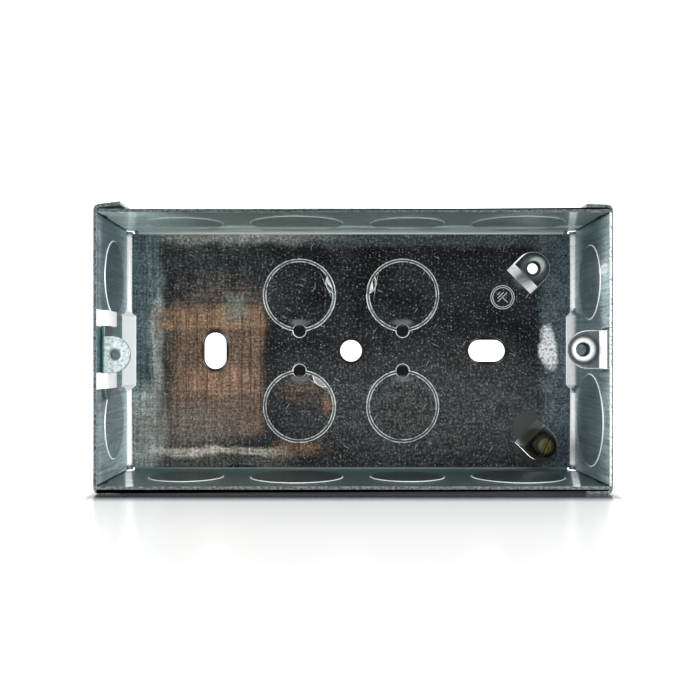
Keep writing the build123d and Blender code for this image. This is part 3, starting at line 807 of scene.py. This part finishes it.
    def shade_seams(self, place: Place, colour: Any) -> Any:
        """Paint shade on both sides of the open seams in the box's corners.

        Args:
            place: the finish's place.
            colour: colour elsewhere.

        Returns:
            A node that gives the colour.
        """
        tree = place.tree
        off: Any = 0.0
        for inset in place.insets:
            off = add(tree, "Math", (off, inset), "MAXIMUM")
        near = add(tree, "MapRange", {
            "Value": off, "From Min": self.seam_reach[1], "From Max": self.seam_reach[0], "To Max": 0.9,
        })
        behind = add(tree, "Math", (place.depth, self.seam_depth), "GREATER_THAN")
        inside = add(tree, "Math", (1.0, place.outer), "SUBTRACT")
        amount = add(tree, "Math", (near, add(tree, "Math", (behind, inside), "MULTIPLY")), "MULTIPLY")
        return add(tree, "Mix", {"Factor": amount, "A": colour, "B": linear(self.seam_shade)})

    def textured(self, tree: NodeTree, colour: Any, grain: Node,
                 rolled: Node, front: Node) -> Any:
        """Break the colour up with the zinc's crystals, strongest on the floor, and rolling streaks.

        Args:
            tree: node tree of the finish.
            colour: even colour.
            grain: noise of the crystals.
            rolled: noise drawn out the way the sheet was rolled.
            front: 1 on the floor.

        Returns:
            A node that gives the colour.
        """
        speckle = add(tree, "MapRange", {
            "Value": grain, "From Min": 0.32, "From Max": 0.68, "To Min": 0.45, "To Max": 1.65,
        })
        faint = add(tree, "MapRange", {
            "Value": grain, "From Min": 0.3, "From Max": 0.7, "To Min": 0.7, "To Max": 1.35,
        })
        both = add(tree, "Mix", {"Factor": front, "A": faint, "B": speckle}, data_type="FLOAT")
        streaks = add(tree, "MapRange", {
            "Value": rolled, "From Min": 0.3, "From Max": 0.7, "To Min": 0.7, "To Max": 1.32,
        })
        shade = add(tree, "Math", (both, streaks), "MULTIPLY")
        colour = add(tree, "Mix", {"Factor": 1.0, "A": colour, "B": shade}, blend_type="MULTIPLY")
        glints = add(tree, "MapRange", {"Value": grain, "From Min": 0.56, "From Max": 0.72, "To Max": 0.085})
        return add(tree, "Mix", {"Factor": front, "A": colour, "B": glints}, blend_type="ADD")

    def marked(self, place: Place, colour: Any, mottle: Node) -> Any:
        """Strew bright pits and short, thin handling scratches over flat sheet.

        Args:
            place: the finish's place.
            colour: colour below the marks.
            mottle: noise of the drifts, which thins them out in places.

        Returns:
            A node that gives the colour.
        """
        tree = place.tree
        cells = add(tree, "TexVoronoi", {"Vector": place.pattern, "Scale": 1 / self.speck_mm})
        marks: Any = add(tree, "MapRange", {
            "Value": cells.outputs["Distance"], "From Min": 0.2, "From Max": 0.1,
        })
        chosen = add(tree, "Math", (
            add(tree, "SeparateColor", {"Color": cells.outputs["Color"]}), 0.8,
        ), "GREATER_THAN")
        marks = add(tree, "Math", (marks, chosen), "MULTIPLY")
        for turn in (0.45, 2.15):
            turned = add(tree, "Mapping", {"Vector": place.pattern, "Rotation": (0.0, 0.0, turn)})
            drawn = add(tree, "Mapping", {"Vector": turned, "Scale": (0.12, 1.0, 1.0)})
            lines = add(tree, "TexVoronoi", {"Vector": drawn, "Scale": 1 / self.scratch_mm * 2.0})
            thin = add(tree, "MapRange", {
                "Value": lines.outputs["Distance"], "From Min": 0.11, "From Max": 0.06,
            })
            few = add(tree, "Math", (
                add(tree, "SeparateColor", {"Color": lines.outputs["Color"]}), 0.94,
            ), "GREATER_THAN")
            scratch = add(tree, "Math", (thin, few), "MULTIPLY")
            marks = add(tree, "Math", (marks, scratch), "MAXIMUM")
        thinned = add(tree, "MapRange", {
            "Value": mottle, "From Min": 0.35, "From Max": 0.65, "To Min": 0.3, "To Max": 0.85,
        })
        amount = add(tree, "Math", (marks, thinned), "MULTIPLY")
        return add(tree, "Mix", {"Factor": amount, "A": colour, "B": linear(self.speck)})

    def rim_colour(self, place: Place, colour: Any, grain: Node) -> Any:
        """Colour the sheared edges of the sheet round the open face, side by side, with painted light and
        shade; the right edge's pale line is a painted highlight.

        Args:
            place: the finish's place.
            colour: colour of everything behind the rim.
            grain: noise of the crystals.

        Returns:
            A node that gives the colour.
        """
        tree = place.tree
        edge = add(tree, "Math", (
            add(tree, "Math", (place.depth, self.rim_depth), "LESS_THAN"),
            add(tree, "Math", (place.facing.outputs["Y"], -0.6), "LESS_THAN"),
        ), "MULTIPLY")
        shade: Any = linear(self.rim_left)
        # The sides differ by painted light and shade; the right edge's pale line is a painted highlight
        sides = (
            (place.x, 60.0, 60.5, self.rim_right_highlight), (place.x, 65.5, 65.7, self.rim_right_outer),
            (place.high, 34.6, 34.7, self.rim_top), (place.high, -34.6, -34.7, self.rim_base),
        )
        for along, start, full, tone in sides:
            side = add(tree, "MapRange", {"Value": along, "From Min": start, "From Max": full})
            shade = add(tree, "Mix", {"Factor": side, "A": shade, "B": linear(tone)})
        mixed = add(tree, "MapRange", {
            "Value": grain, "From Min": 0.38, "From Max": 0.62, "To Min": 0.35, "To Max": 1.75,
        })
        shade = add(tree, "Mix", {"Factor": 1.0, "A": shade, "B": mixed}, blend_type="MULTIPLY")
        return add(tree, "Mix", {"Factor": edge, "A": colour, "B": shade})


@dataclass(frozen=True)
class ZincPlate:
    """Pressed steel with bright electroplated zinc: pale, with grey blotches where it has worn."""

    name: str = "zinc_plated_pressing"
    pale: str = "#CAD6D6"
    worn: str = "#6D7577"
    side: str = "#5D6468"
    bend: str = "#587A79"        # its outer bend, in the shade of the rim
    metallic: float = 0.5
    roughness: float = 0.34
    blotch_mm: float = 0.9

    def build(self) -> Material:
        """Build the finish.

        Returns:
            The material.
        """
        material, tree = new_material(self.name)
        place = Place(tree)
        blotches = add(tree, "TexNoise", {
            "Vector": place.pattern, "Scale": 1 / self.blotch_mm, "Detail": 4.0, "Roughness": 0.7,
        })
        wear = add(tree, "MapRange", {"Value": blotches, "From Min": 0.42, "From Max": 0.74})
        front = add(tree, "Math", (place.facing.outputs["Y"],), "ABSOLUTE")
        colour = add(tree, "Mix", {"Factor": front, "A": linear(self.side), "B": linear(self.pale)})
        colour = add(tree, "Mix", {"Factor": wear, "A": colour, "B": linear(self.worn)})
        bent = add(tree, "MapRange", {"Value": place.x, "From Min": -64.0, "From Max": -64.3})
        colour = add(tree, "Mix", {"Factor": bent, "A": colour, "B": linear(self.bend)})
        rough = add(tree, "MapRange", {
            "Value": blotches, "From Min": 0.3, "From Max": 0.7,
            "To Min": self.roughness, "To Max": self.roughness + 0.2,
        })
        bump = add(tree, "Bump", {"Height": blotches, "Strength": 0.15, "Distance": 0.00006})
        shader = add(tree, "BsdfPrincipled", {
            "Base Color": colour, "Metallic": self.metallic, "Roughness": rough, "Normal": bump,
        })
        add(tree, "OutputMaterial", {"Surface": shader})
        return material


@dataclass(frozen=True)
class TurnedBrass:
    """Free-cutting brass, turned on a lathe: fine rings on the head, dulled olive with age, and a painted
    dark reflection round the rim of its domed head.
    """

    name: str = "brass_turned"
    bright: str = "#625D3A"
    tarnish_and_dark_reflection: str = "#1F1E14"
    metallic: float = 0.7
    roughness: float = 0.38
    ring_mm: float = 0.4         # feed marks, drawn as coarse as they show
    centre_x: float = 55.0
    centre_height: float = -27.1
    head_radius: float = 3.4

    def build(self) -> Material:
        """Build the finish.

        Returns:
            The material.
        """
        material, tree = new_material(self.name)
        place = Place(tree)
        centred = add(tree, "Mapping", {
            "Vector": place.floor, "Location": (-self.centre_x, -self.centre_height, 0.0),
        })
        radius = add(tree, "VectorMath", (centred,), "LENGTH").outputs["Value"]
        # painted dark reflection round the head's rim
        rim = add(tree, "MapRange", {
            "Value": radius, "From Min": 0.45 * self.head_radius, "From Max": 0.75 * self.head_radius,
        }, interpolation_type="SMOOTHSTEP")
        patch = add(tree, "TexNoise", {"Vector": place.pattern, "Scale": 1.4, "Detail": 3.0})
        dull = add(tree, "Math", (
            rim, add(tree, "MapRange", {"Value": patch, "From Min": 0.5, "From Max": 0.8}),
        ), "MAXIMUM")
        colour = add(tree, "Mix", {"Factor": dull, "A": linear(self.bright), "B": linear(self.tarnish_and_dark_reflection)})
        rings = add(tree, "Math", (
            add(tree, "Math", (radius, 2 * math.pi / self.ring_mm), "MULTIPLY"),
        ), "SINE")
        bump = add(tree, "Bump", {"Height": rings, "Strength": 0.2, "Distance": 0.00002})
        shader = add(tree, "BsdfPrincipled", {
            "Base Color": colour, "Metallic": self.metallic, "Roughness": self.roughness, "Normal": bump,
        })
        add(tree, "OutputMaterial", {"Surface": shader})
        return material


@dataclass(frozen=True)
class WhiteTable:
    """Glossy white laminate: it keeps the box's shadow, has a painted shadow round the box as well, and far
    from the box it turns plain white.
    """

    name: str = "white_laminate_table"
    colour: str = "#F1F1F1"
    near_shade: str = "#E6E9E8"  # soft shade in front of the box
    contact_shade: str = "#2A3238"           # and hard against it
    beside_lift: float = 0.95    # brightness added to the left and right of the box
    beside: tuple[float, float] = (-0.5, 2.5)            # mm off its ends where that starts and is full
    under_lift: float = 0.03     # and under it, where light creeps in behind
    far_lift: float = 0.6        # brightness added far off to what looks straight at it
    creep: float = 0.004         # metres over which the brightness under it fades
    contact: tuple[float, float] = (0.005, 0.0125)       # the hard shade gives way to the soft one
    soft_end: tuple[float, float] = (0.01, 0.05)         # and the soft one to the table's colour
    near: float = 0.12           # metres from the box where the far brightness starts
    far: float = 0.9             # and where it is full
    roughness: float = 0.22

    def build(self) -> Material:
        """Build the finish.

        Returns:
            The material.
        """
        material, tree = new_material(self.name)
        coords = add(tree, "TexCoord")
        away = add(tree, "VectorMath", (coords.outputs["Object"],), "LENGTH").outputs["Value"]
        lift = add(tree, "MapRange", {
            "Value": away, "From Min": self.near, "From Max": self.far, "To Max": self.far_lift,
        })
        rays = add(tree, "LightPath")
        seen = add(tree, "Math", (rays.outputs["Is Camera Ray"], rays.outputs["Is Glossy Ray"]), "MAXIMUM")
        spot = add(tree, "SeparateXYZ", {
            "Vector": add(tree, "VectorMath", (coords.outputs["Object"],), "ABSOLUTE"),
        })
        beside = add(tree, "MapRange", {
            "Value": spot.outputs["X"], "To Max": self.beside_lift,
            "From Min": (HALF_WIDTH + self.beside[0]) * MM, "From Max": (HALF_WIDTH + self.beside[1]) * MM,
        })
        lift = add(tree, "Math", (lift, beside), "MAXIMUM")
        gap: Any = -1.0
        for axis, half in (("X", HALF_WIDTH), ("Y", HALF_DEPTH)):
            past = add(tree, "Math", (spot.outputs[axis], half * MM), "SUBTRACT")
            gap = add(tree, "Math", (gap, past), "MAXIMUM")
        under = add(tree, "MapRange", {
            "Value": gap, "From Min": 0.0, "From Max": self.creep, "To Min": self.under_lift, "To Max": 0.0,
        })
        lift = add(tree, "Math", (lift, under), "MAXIMUM")
        glow = add(tree, "Math", (seen, lift), "MULTIPLY")
        close, wide = (
            add(tree, "MapRange", {"Value": gap, "From Min": start, "From Max": end})
            for start, end in (self.contact, self.soft_end)
        )
        shade = add(tree, "Mix", {
            "Factor": close, "A": linear(self.contact_shade), "B": linear(self.near_shade),
        })
        shade = add(tree, "Mix", {"Factor": wide, "A": shade, "B": linear(self.colour)})
        shader = add(tree, "BsdfPrincipled", {
            "Base Color": shade, "Roughness": self.roughness,
            "Emission Color": (1.0, 1.0, 1.0, 1.0), "Emission Strength": glow,
        })
        add(tree, "OutputMaterial", {"Surface": shader})
        return material


def put(name: str, data: Any) -> Object:
    """Put a new object in the scene.

    Args:
        name: its name.
        data: its mesh, curve, lamp or camera.

    Returns:
        The object, at the origin.
    """
    made = bpy.data.objects.new(name, data)
    bpy.context.scene.collection.objects.link(made)
    return made


def plain_mesh(holder: Object) -> bpy.types.Mesh:
    """Turn what an object's curve or modifiers make into a mesh of its own.

    Args:
        holder: the object, which is deleted.

    Returns:
        The mesh.
    """
    mesh = bpy.data.meshes.new_from_object(holder.evaluated_get(bpy.context.evaluated_depsgraph_get()))
    bpy.data.objects.remove(holder)
    return mesh


def dressed(name: str, mesh: bpy.types.Mesh, material: Material) -> Object:
    """Make a smooth piece of one finish from a mesh.

    Args:
        name: name of the piece.
        mesh: its mesh.
        material: its finish.

    Returns:
        The piece, in the scene.
    """
    mesh.name = name
    mesh.materials.clear()
    mesh.materials.append(material)
    mesh.shade_smooth()
    return put(name, mesh)


def in_relief(place: Vector) -> bool:
    """Tell whether a point lies in one of the square reliefs where three folds meet.

    Args:
        place: point in metres.

    Returns:
        Whether it does.
    """
    spot = (abs(place.x) * TO_MM, place.y * TO_MM, abs(place.z * TO_MM - CENTRE_HEIGHT))
    return all(value > limit for value, limit in zip(spot, RELIEF))


def soften(node: str, name: str, roll: float, material: Material) -> Object:
    """Copy a CAD node and round its sheared edges a little, as a press leaves them.

    Args:
        node: name of the CAD node that the piece stands for.
        name: name of the new piece.
        roll: width of the rounding in millimetres.
        material: finish of the piece.

    Returns:
        The new piece, in the scene, at the origin.
    """
    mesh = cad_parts[node].data.copy()
    shape = bmesh.new()
    shape.from_mesh(mesh)
    bmesh.ops.remove_doubles(shape, verts=shape.verts, dist=1e-7)
    bmesh.ops.dissolve_limit(
        shape, angle_limit=FLAT_UNDER, use_dissolve_boundaries=False,
        verts=shape.verts, edges=shape.edges, delimit=set(),
    )
    weights = shape.edges.layers.float.new("bevel_weight_edge")
    for edge in shape.edges:
        sharp = edge.is_manifold and edge.calc_face_angle() > ROUNDED_OVER
        edge[weights] = float(sharp and not any(in_relief(vert.co) for vert in edge.verts))
    shape.to_mesh(mesh)
    shape.free()
    if "custom_normal" in mesh.attributes:
        mesh.attributes.remove(mesh.attributes["custom_normal"])
    piece = dressed(name, mesh, material)
    bevel = piece.modifiers.new("rolled_edges", "BEVEL")
    bevel.width = roll * MM
    bevel.segments = 2
    bevel.limit_method = "WEIGHT"
    bevel.use_clamp_overlap = False
    bevel.harden_normals = False
    mesh.set_sharp_from_angle(angle=SMOOTH_UNDER)
    return piece


def thread_tree() -> NodeTree:
    """Node tree of a screw thread: one triangular ridge wound as a helix.

    Returns:
        The tree, with inputs for the ridge's radius, pitch, turns, size, place and material.
    """
    tree = bpy.data.node_groups.new("helical_thread", "GeometryNodeTree")
    sockets = (
        ("Radius", "NodeSocketFloat"), ("Pitch", "NodeSocketFloat"), ("Turns", "NodeSocketFloat"),
        ("Ridge", "NodeSocketFloat"), ("Place", "NodeSocketVector"), ("Material", "NodeSocketMaterial"),
    )
    for name, kind in sockets:
        tree.interface.new_socket(name, in_out="INPUT", socket_type=kind)
    tree.interface.new_socket("Geometry", in_out="OUTPUT", socket_type="NodeSocketGeometry")
    sizes = add(tree, "NodeGroupInput")
    height = add(tree, "Math", (sizes.outputs["Pitch"], sizes.outputs["Turns"]), "MULTIPLY")
    helix = add(tree, "GeometryNodeCurveSpiral", {
        "Resolution": 40, "Rotations": sizes.outputs["Turns"], "Height": height,
        "Start Radius": sizes.outputs["Radius"], "End Radius": sizes.outputs["Radius"],
    })
    ridge = add(tree, "GeometryNodeCurvePrimitiveCircle", {"Resolution": 6, "Radius": sizes.outputs["Ridge"]})
    wound = add(tree, "GeometryNodeCurveToMesh", {"Curve": helix, "Profile Curve": ridge, "Fill Caps": True})
    placed = add(tree, "GeometryNodeTransform", {
        "Geometry": wound, "Translation": sizes.outputs["Place"], "Rotation": (math.radians(-90), 0.0, 0.0),
    })
    real = add(tree, "GeometryNodeRealizeInstances", {"Geometry": placed})
    dressed = add(tree, "GeometryNodeSetMaterial", {"Geometry": real, "Material": sizes.outputs["Material"]})
    add(tree, "NodeGroupOutput", {"Geometry": dressed})
    return tree


@dataclass(frozen=True)
class Thread:
    """Size of a screw thread in millimetres."""

    radius: float
    pitch: float
    ridge: float                 # half the ridge's width


LUG_THREAD = Thread(1.5, 0.6, 0.14)
TAB_THREAD = Thread(1.65, 0.7, 0.16)
SCREW_THREAD = Thread(1.62, 0.7, 0.2)


@dataclass
class ThreadCutter:
    """Winds screw threads with one shared node tree."""

    tree: NodeTree = field(default_factory=thread_tree)

    def wind(self, name: str, thread: Thread, at: tuple[float, float], span: tuple[float, float],
             material: Material) -> Object:
        """Wind a thread.

        Args:
            name: name of the piece.
            thread: its size.
            at: x and height from the middle of its axis, in mm.
            span: first and last depth in mm.
            material: its finish.

        Returns:
            The new piece, as a plain mesh.
        """
        (x, height), (first, last) = at, span
        holder = put(name, bpy.data.meshes.new(name))
        winding = holder.modifiers.new("winding", "NODES")
        winding.node_group = self.tree
        sizes = {
            "Radius": thread.radius * MM, "Pitch": thread.pitch * MM, "Turns": (last - first) / thread.pitch,
            "Ridge": thread.ridge * MM, "Material": material,
            "Place": (x * MM, (first - HALF_DEPTH) * MM, (height + CENTRE_HEIGHT) * MM),
        }
        for item in self.tree.interface.items_tree:
            if item.name in sizes:
                winding[item.identifier] = sizes[item.name]
        return dressed(name, plain_mesh(holder), material)


def deliver(piece: Object, body: Body, finish: Finish, *nodes: str) -> Object:
    """Hand a finished piece to the frame.

    Args:
        piece: the piece.
        body: the CAD body that it rides on.
        finish: the record's material slot; not used.
        nodes: CAD nodes that it stands for.

    Returns:
        The piece.
    """
    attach(piece, body.value)
    if nodes:
        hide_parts(*nodes)
    LOG.info("%s rides on %s, %d faces", piece.name, body.value, len(piece.data.polygons))
    return piece


@dataclass
class FoldedBox:
    """The folded box: its sheet, the threads tapped in it and the stamped earth mark."""

    material: Material
    cutter: ThreadCutter
    edge_roll: float = 0.12
    fixed_lug_hole: tuple[float, float] = (59.3, 0.0)
    fixed_lug_span: tuple[float, float] = (4.4, 5.7)
    earth_hole: tuple[float, float] = (52.8, 23.9)
    earth_span: tuple[float, float] = (33.0, 34.0)
    mark_centre: tuple[float, float] = (44.2, 15.6)
    mark_radius: float = 3.4
    mark_turn: float = math.radians(-45)
    stroke: float = 0.12         # half the width of a stamped line
    # The sign in shares of its outer ring's radius: inner ring, foot of the stem, each bar's height and half
    inner_ring: float = 0.84
    stem_foot: float = -0.62
    bars: tuple[tuple[float, float], ...] = ((0.02, 0.55), (0.24, 0.36), (0.46, 0.17))

    def build(self) -> None:
        """Build and hand over every piece of the box."""
        shell = soften("box_body", "folded_box", self.edge_roll, self.material)
        deliver(shell, Body.BOX, Finish.SHEET, "box_body")
        tapped = (
            ("fixed_lug_thread", LUG_THREAD, self.fixed_lug_hole, self.fixed_lug_span),
            ("earth_tab_thread", TAB_THREAD, self.earth_hole, self.earth_span),
        )
        for name, thread, at, span in tapped:
            deliver(self.cutter.wind(name, thread, at, span, self.material), Body.BOX, Finish.SHEET)
        deliver(self.earth_mark(), Body.BOX, Finish.SHEET)

    def earth_mark(self) -> Object:
        """Stamp the protective earth sign in its ring: a stem and three bars, turned to the tab.

        Returns:
            The mark as one piece of raised lines on the floor.
        """
        radius = self.mark_radius
        paths = [self.circle(radius), self.circle(self.inner_ring * radius)]
        paths.append(([(0.0, self.stem_foot * radius), (0.0, self.bars[0][0] * radius)], False))
        for level, reach in self.bars:
            paths.append(([(-reach * radius, level * radius), (reach * radius, level * radius)], False))
        curve = bpy.data.curves.new("earth_mark", "CURVE")
        curve.dimensions = "3D"
        curve.bevel_depth = self.stroke * MM
        curve.bevel_resolution = 2
        curve.use_fill_caps = True
        turn = Matrix.Rotation(self.mark_turn, 4, "Y")
        centre = Vector((self.mark_centre[0], FLOOR_DEPTH - HALF_DEPTH, self.mark_centre[1] + CENTRE_HEIGHT))
        for points, closed in paths:
            spline = curve.splines.new("POLY")
            spline.points.add(len(points) - 1)
            spline.use_cyclic_u = closed
            for point, (across, up) in zip(spline.points, points):
                spot = turn @ Vector((across, 0.0, up)) + centre
                point.co = (*(spot * MM), 1.0)
        mesh = plain_mesh(put("earth_mark_path", curve))
        bpy.data.curves.remove(curve)
        return dressed("earth_mark", mesh, self.material)

    def circle(self, radius: float, steps: int = 48) -> tuple[list[tuple[float, float]], bool]:
        """Lay out a circle.

        Args:
            radius: its radius in mm.
            steps: number of its points.

        Returns:
            The points across and up, and that the path is closed.
        """
        angles = [2 * math.pi * i / steps for i in range(steps)]
        return [(radius * math.cos(a), radius * math.sin(a)) for a in angles], True


@dataclass
class SlidingLug:
    """The cover lug that slides in its two loops, with its tapped hole."""

    material: Material
    cutter: ThreadCutter
    edge_roll: float = 0.12
    hole: tuple[float, float] = (-61.35, -1.33)
    thread_span: tuple[float, float] = (3.35, 5.2)

    def build(self) -> None:
        """Build and hand over the lug and its thread."""
        lug = soften("adjustable_lug", "sliding_cover_lug", self.edge_roll, self.material)
        deliver(lug, Body.LUG, Finish.PLATE, "adjustable_lug")
        thread = self.cutter.wind(
            "sliding_lug_thread", LUG_THREAD, self.hole, self.thread_span, self.material,
        )
        deliver(thread, Body.LUG, Finish.PLATE)


@dataclass
class EarthScrew:
    """The slotted brass screw in the lower earth tab."""

    material: Material
    cutter: ThreadCutter
    edge_roll: float = 0.1
    axis: tuple[float, float] = (55.0, -27.1)
    thread_span: tuple[float, float] = (29.2, 34.3)

    def build(self) -> None:
        """Build and hand over the screw and its thread."""
        screw = soften("earth_screw", "brass_earth_screw", self.edge_roll, self.material)
        deliver(screw, Body.BOX, Finish.BRASS, "earth_screw")
        thread = self.cutter.wind(
            "earth_screw_thread", SCREW_THREAD, self.axis, self.thread_span, self.material,
        )
        deliver(thread, Body.BOX, Finish.BRASS)


@dataclass
class Studio:
    """White table, white surroundings, soft lamps and the camera."""

    table: Material
    camera_place: tuple[float, float, float] = (-4.1, -244.5, 34.05)
    lens: float = 46.03
    shift: tuple[float, float] = (13 / 700, 10 / 700)
    sweep_radius: float = 300.0
    sweep_distance: float = 900.0
    sweep_steps: int = 12
    table_front: float = -3000.0
    table_half_width: float = 4000.0
    wall_top: float = 3000.0
    world_light: float = 0.7
    top_lamp: float = 1.5
    left_lamp: float = 1.8
    right_lamp: float = 3.0

    def build(self) -> None:
        """Set up everything that isn't the object."""
        self.lay_table()
        self.light_world()
        self.hang_lamp("top_softbox", (0.0, -120.0, 480.0), (0.0, 0.0, 20.0), 420.0, self.top_lamp)
        self.hang_lamp("left_softbox", (-520.0, -260.0, 120.0), (30.0, 0.0, 36.0), 300.0, self.left_lamp)
        self.hang_lamp("right_softbox", (520.0, -260.0, 120.0), (-30.0, 0.0, 36.0), 300.0, self.right_lamp)
        self.place_camera()
        view = bpy.context.scene.view_settings
        view.view_transform = "Standard"

    def lay_table(self) -> None:
        """Sweep the table up into a backdrop behind the box."""
        mesh = bpy.data.meshes.new("table_sweep")
        shape = bmesh.new()
        profile = [(self.table_front, 0.0), (self.sweep_distance, 0.0)]
        for i in range(1, self.sweep_steps + 1):
            angle = i / self.sweep_steps * math.pi / 2
            profile.append((
                self.sweep_distance + self.sweep_radius * math.sin(angle),
                self.sweep_radius * (1 - math.cos(angle)),
            ))
        profile.append((self.sweep_distance + self.sweep_radius, self.wall_top))
        rows = [
            [shape.verts.new((side * self.table_half_width * MM, y * MM, z * MM)) for side in (-1, 1)]
            for y, z in profile
        ]
        for near, far in zip(rows, rows[1:]):
            shape.faces.new((near[0], near[1], far[1], far[0]))
        shape.to_mesh(mesh)
        shape.free()
        mesh.materials.append(self.table)
        mesh.shade_smooth()
        sweep = put("table_sweep", mesh)

    def light_world(self) -> None:
        """Surround the box with plain white, a little dimmer for what only lights it."""
        world = bpy.data.worlds.new("white_room")
        world.use_nodes = True
        tree = world.node_tree
        tree.nodes.clear()
        rays = add(tree, "LightPath")
        seen = add(tree, "Math", (rays.outputs["Is Camera Ray"], rays.outputs["Is Glossy Ray"]), "MAXIMUM")
        strength = add(tree, "MapRange", {"Value": seen, "To Min": self.world_light, "To Max": 1.0})
        sky = add(tree, "Background", {"Color": (1.0, 1.0, 1.0, 1.0), "Strength": strength})
        add(tree, "OutputWorld", {"Surface": sky})
        bpy.context.scene.world = world

    def hang_lamp(self, name: str, place: tuple[float, float, float], aim: tuple[float, float, float],
                  size: float, watts: float) -> None:
        """Hang one square softbox.

        Args:
            name: name of the lamp.
            place: its middle in mm.
            aim: the point it looks at in mm.
            size: its side in mm.
            watts: its power.
        """
        lamp = bpy.data.lights.new(name, "AREA")
        lamp.size = size * MM
        lamp.energy = watts
        holder = put(name, lamp)
        holder.location = Vector(place) * MM
        holder.rotation_euler = (Vector(aim) - Vector(place)).to_track_quat("-Z", "Y").to_euler()

    def place_camera(self) -> None:
        """Look straight into the box from just left of its middle."""
        camera = bpy.data.cameras.new("camera")
        camera.lens = self.lens
        camera.shift_x, camera.shift_y = self.shift
        camera.clip_start, camera.clip_end = 0.01, 20.0
        holder = put("camera", camera)
        holder.location = Vector(self.camera_place) * MM
        holder.rotation_euler = (math.radians(90), 0.0, 0.0)
        bpy.context.scene.camera = holder


def main() -> None:
    """Build the studio, then each sub-assembly in order."""
    logging.basicConfig(level=logging.INFO, format="%(name)s: %(message)s")
    cutter = ThreadCutter()
    sheet = GalvanisedSheet().build()
    plate = ZincPlate().build()
    brass = TurnedBrass().build()
    Studio(WhiteTable().build()).build()
    FoldedBox(sheet, cutter).build()
    SlidingLug(plate, cutter).build()
    EarthScrew(brass, cutter).build()


if __name__ == "__main__":
    main()
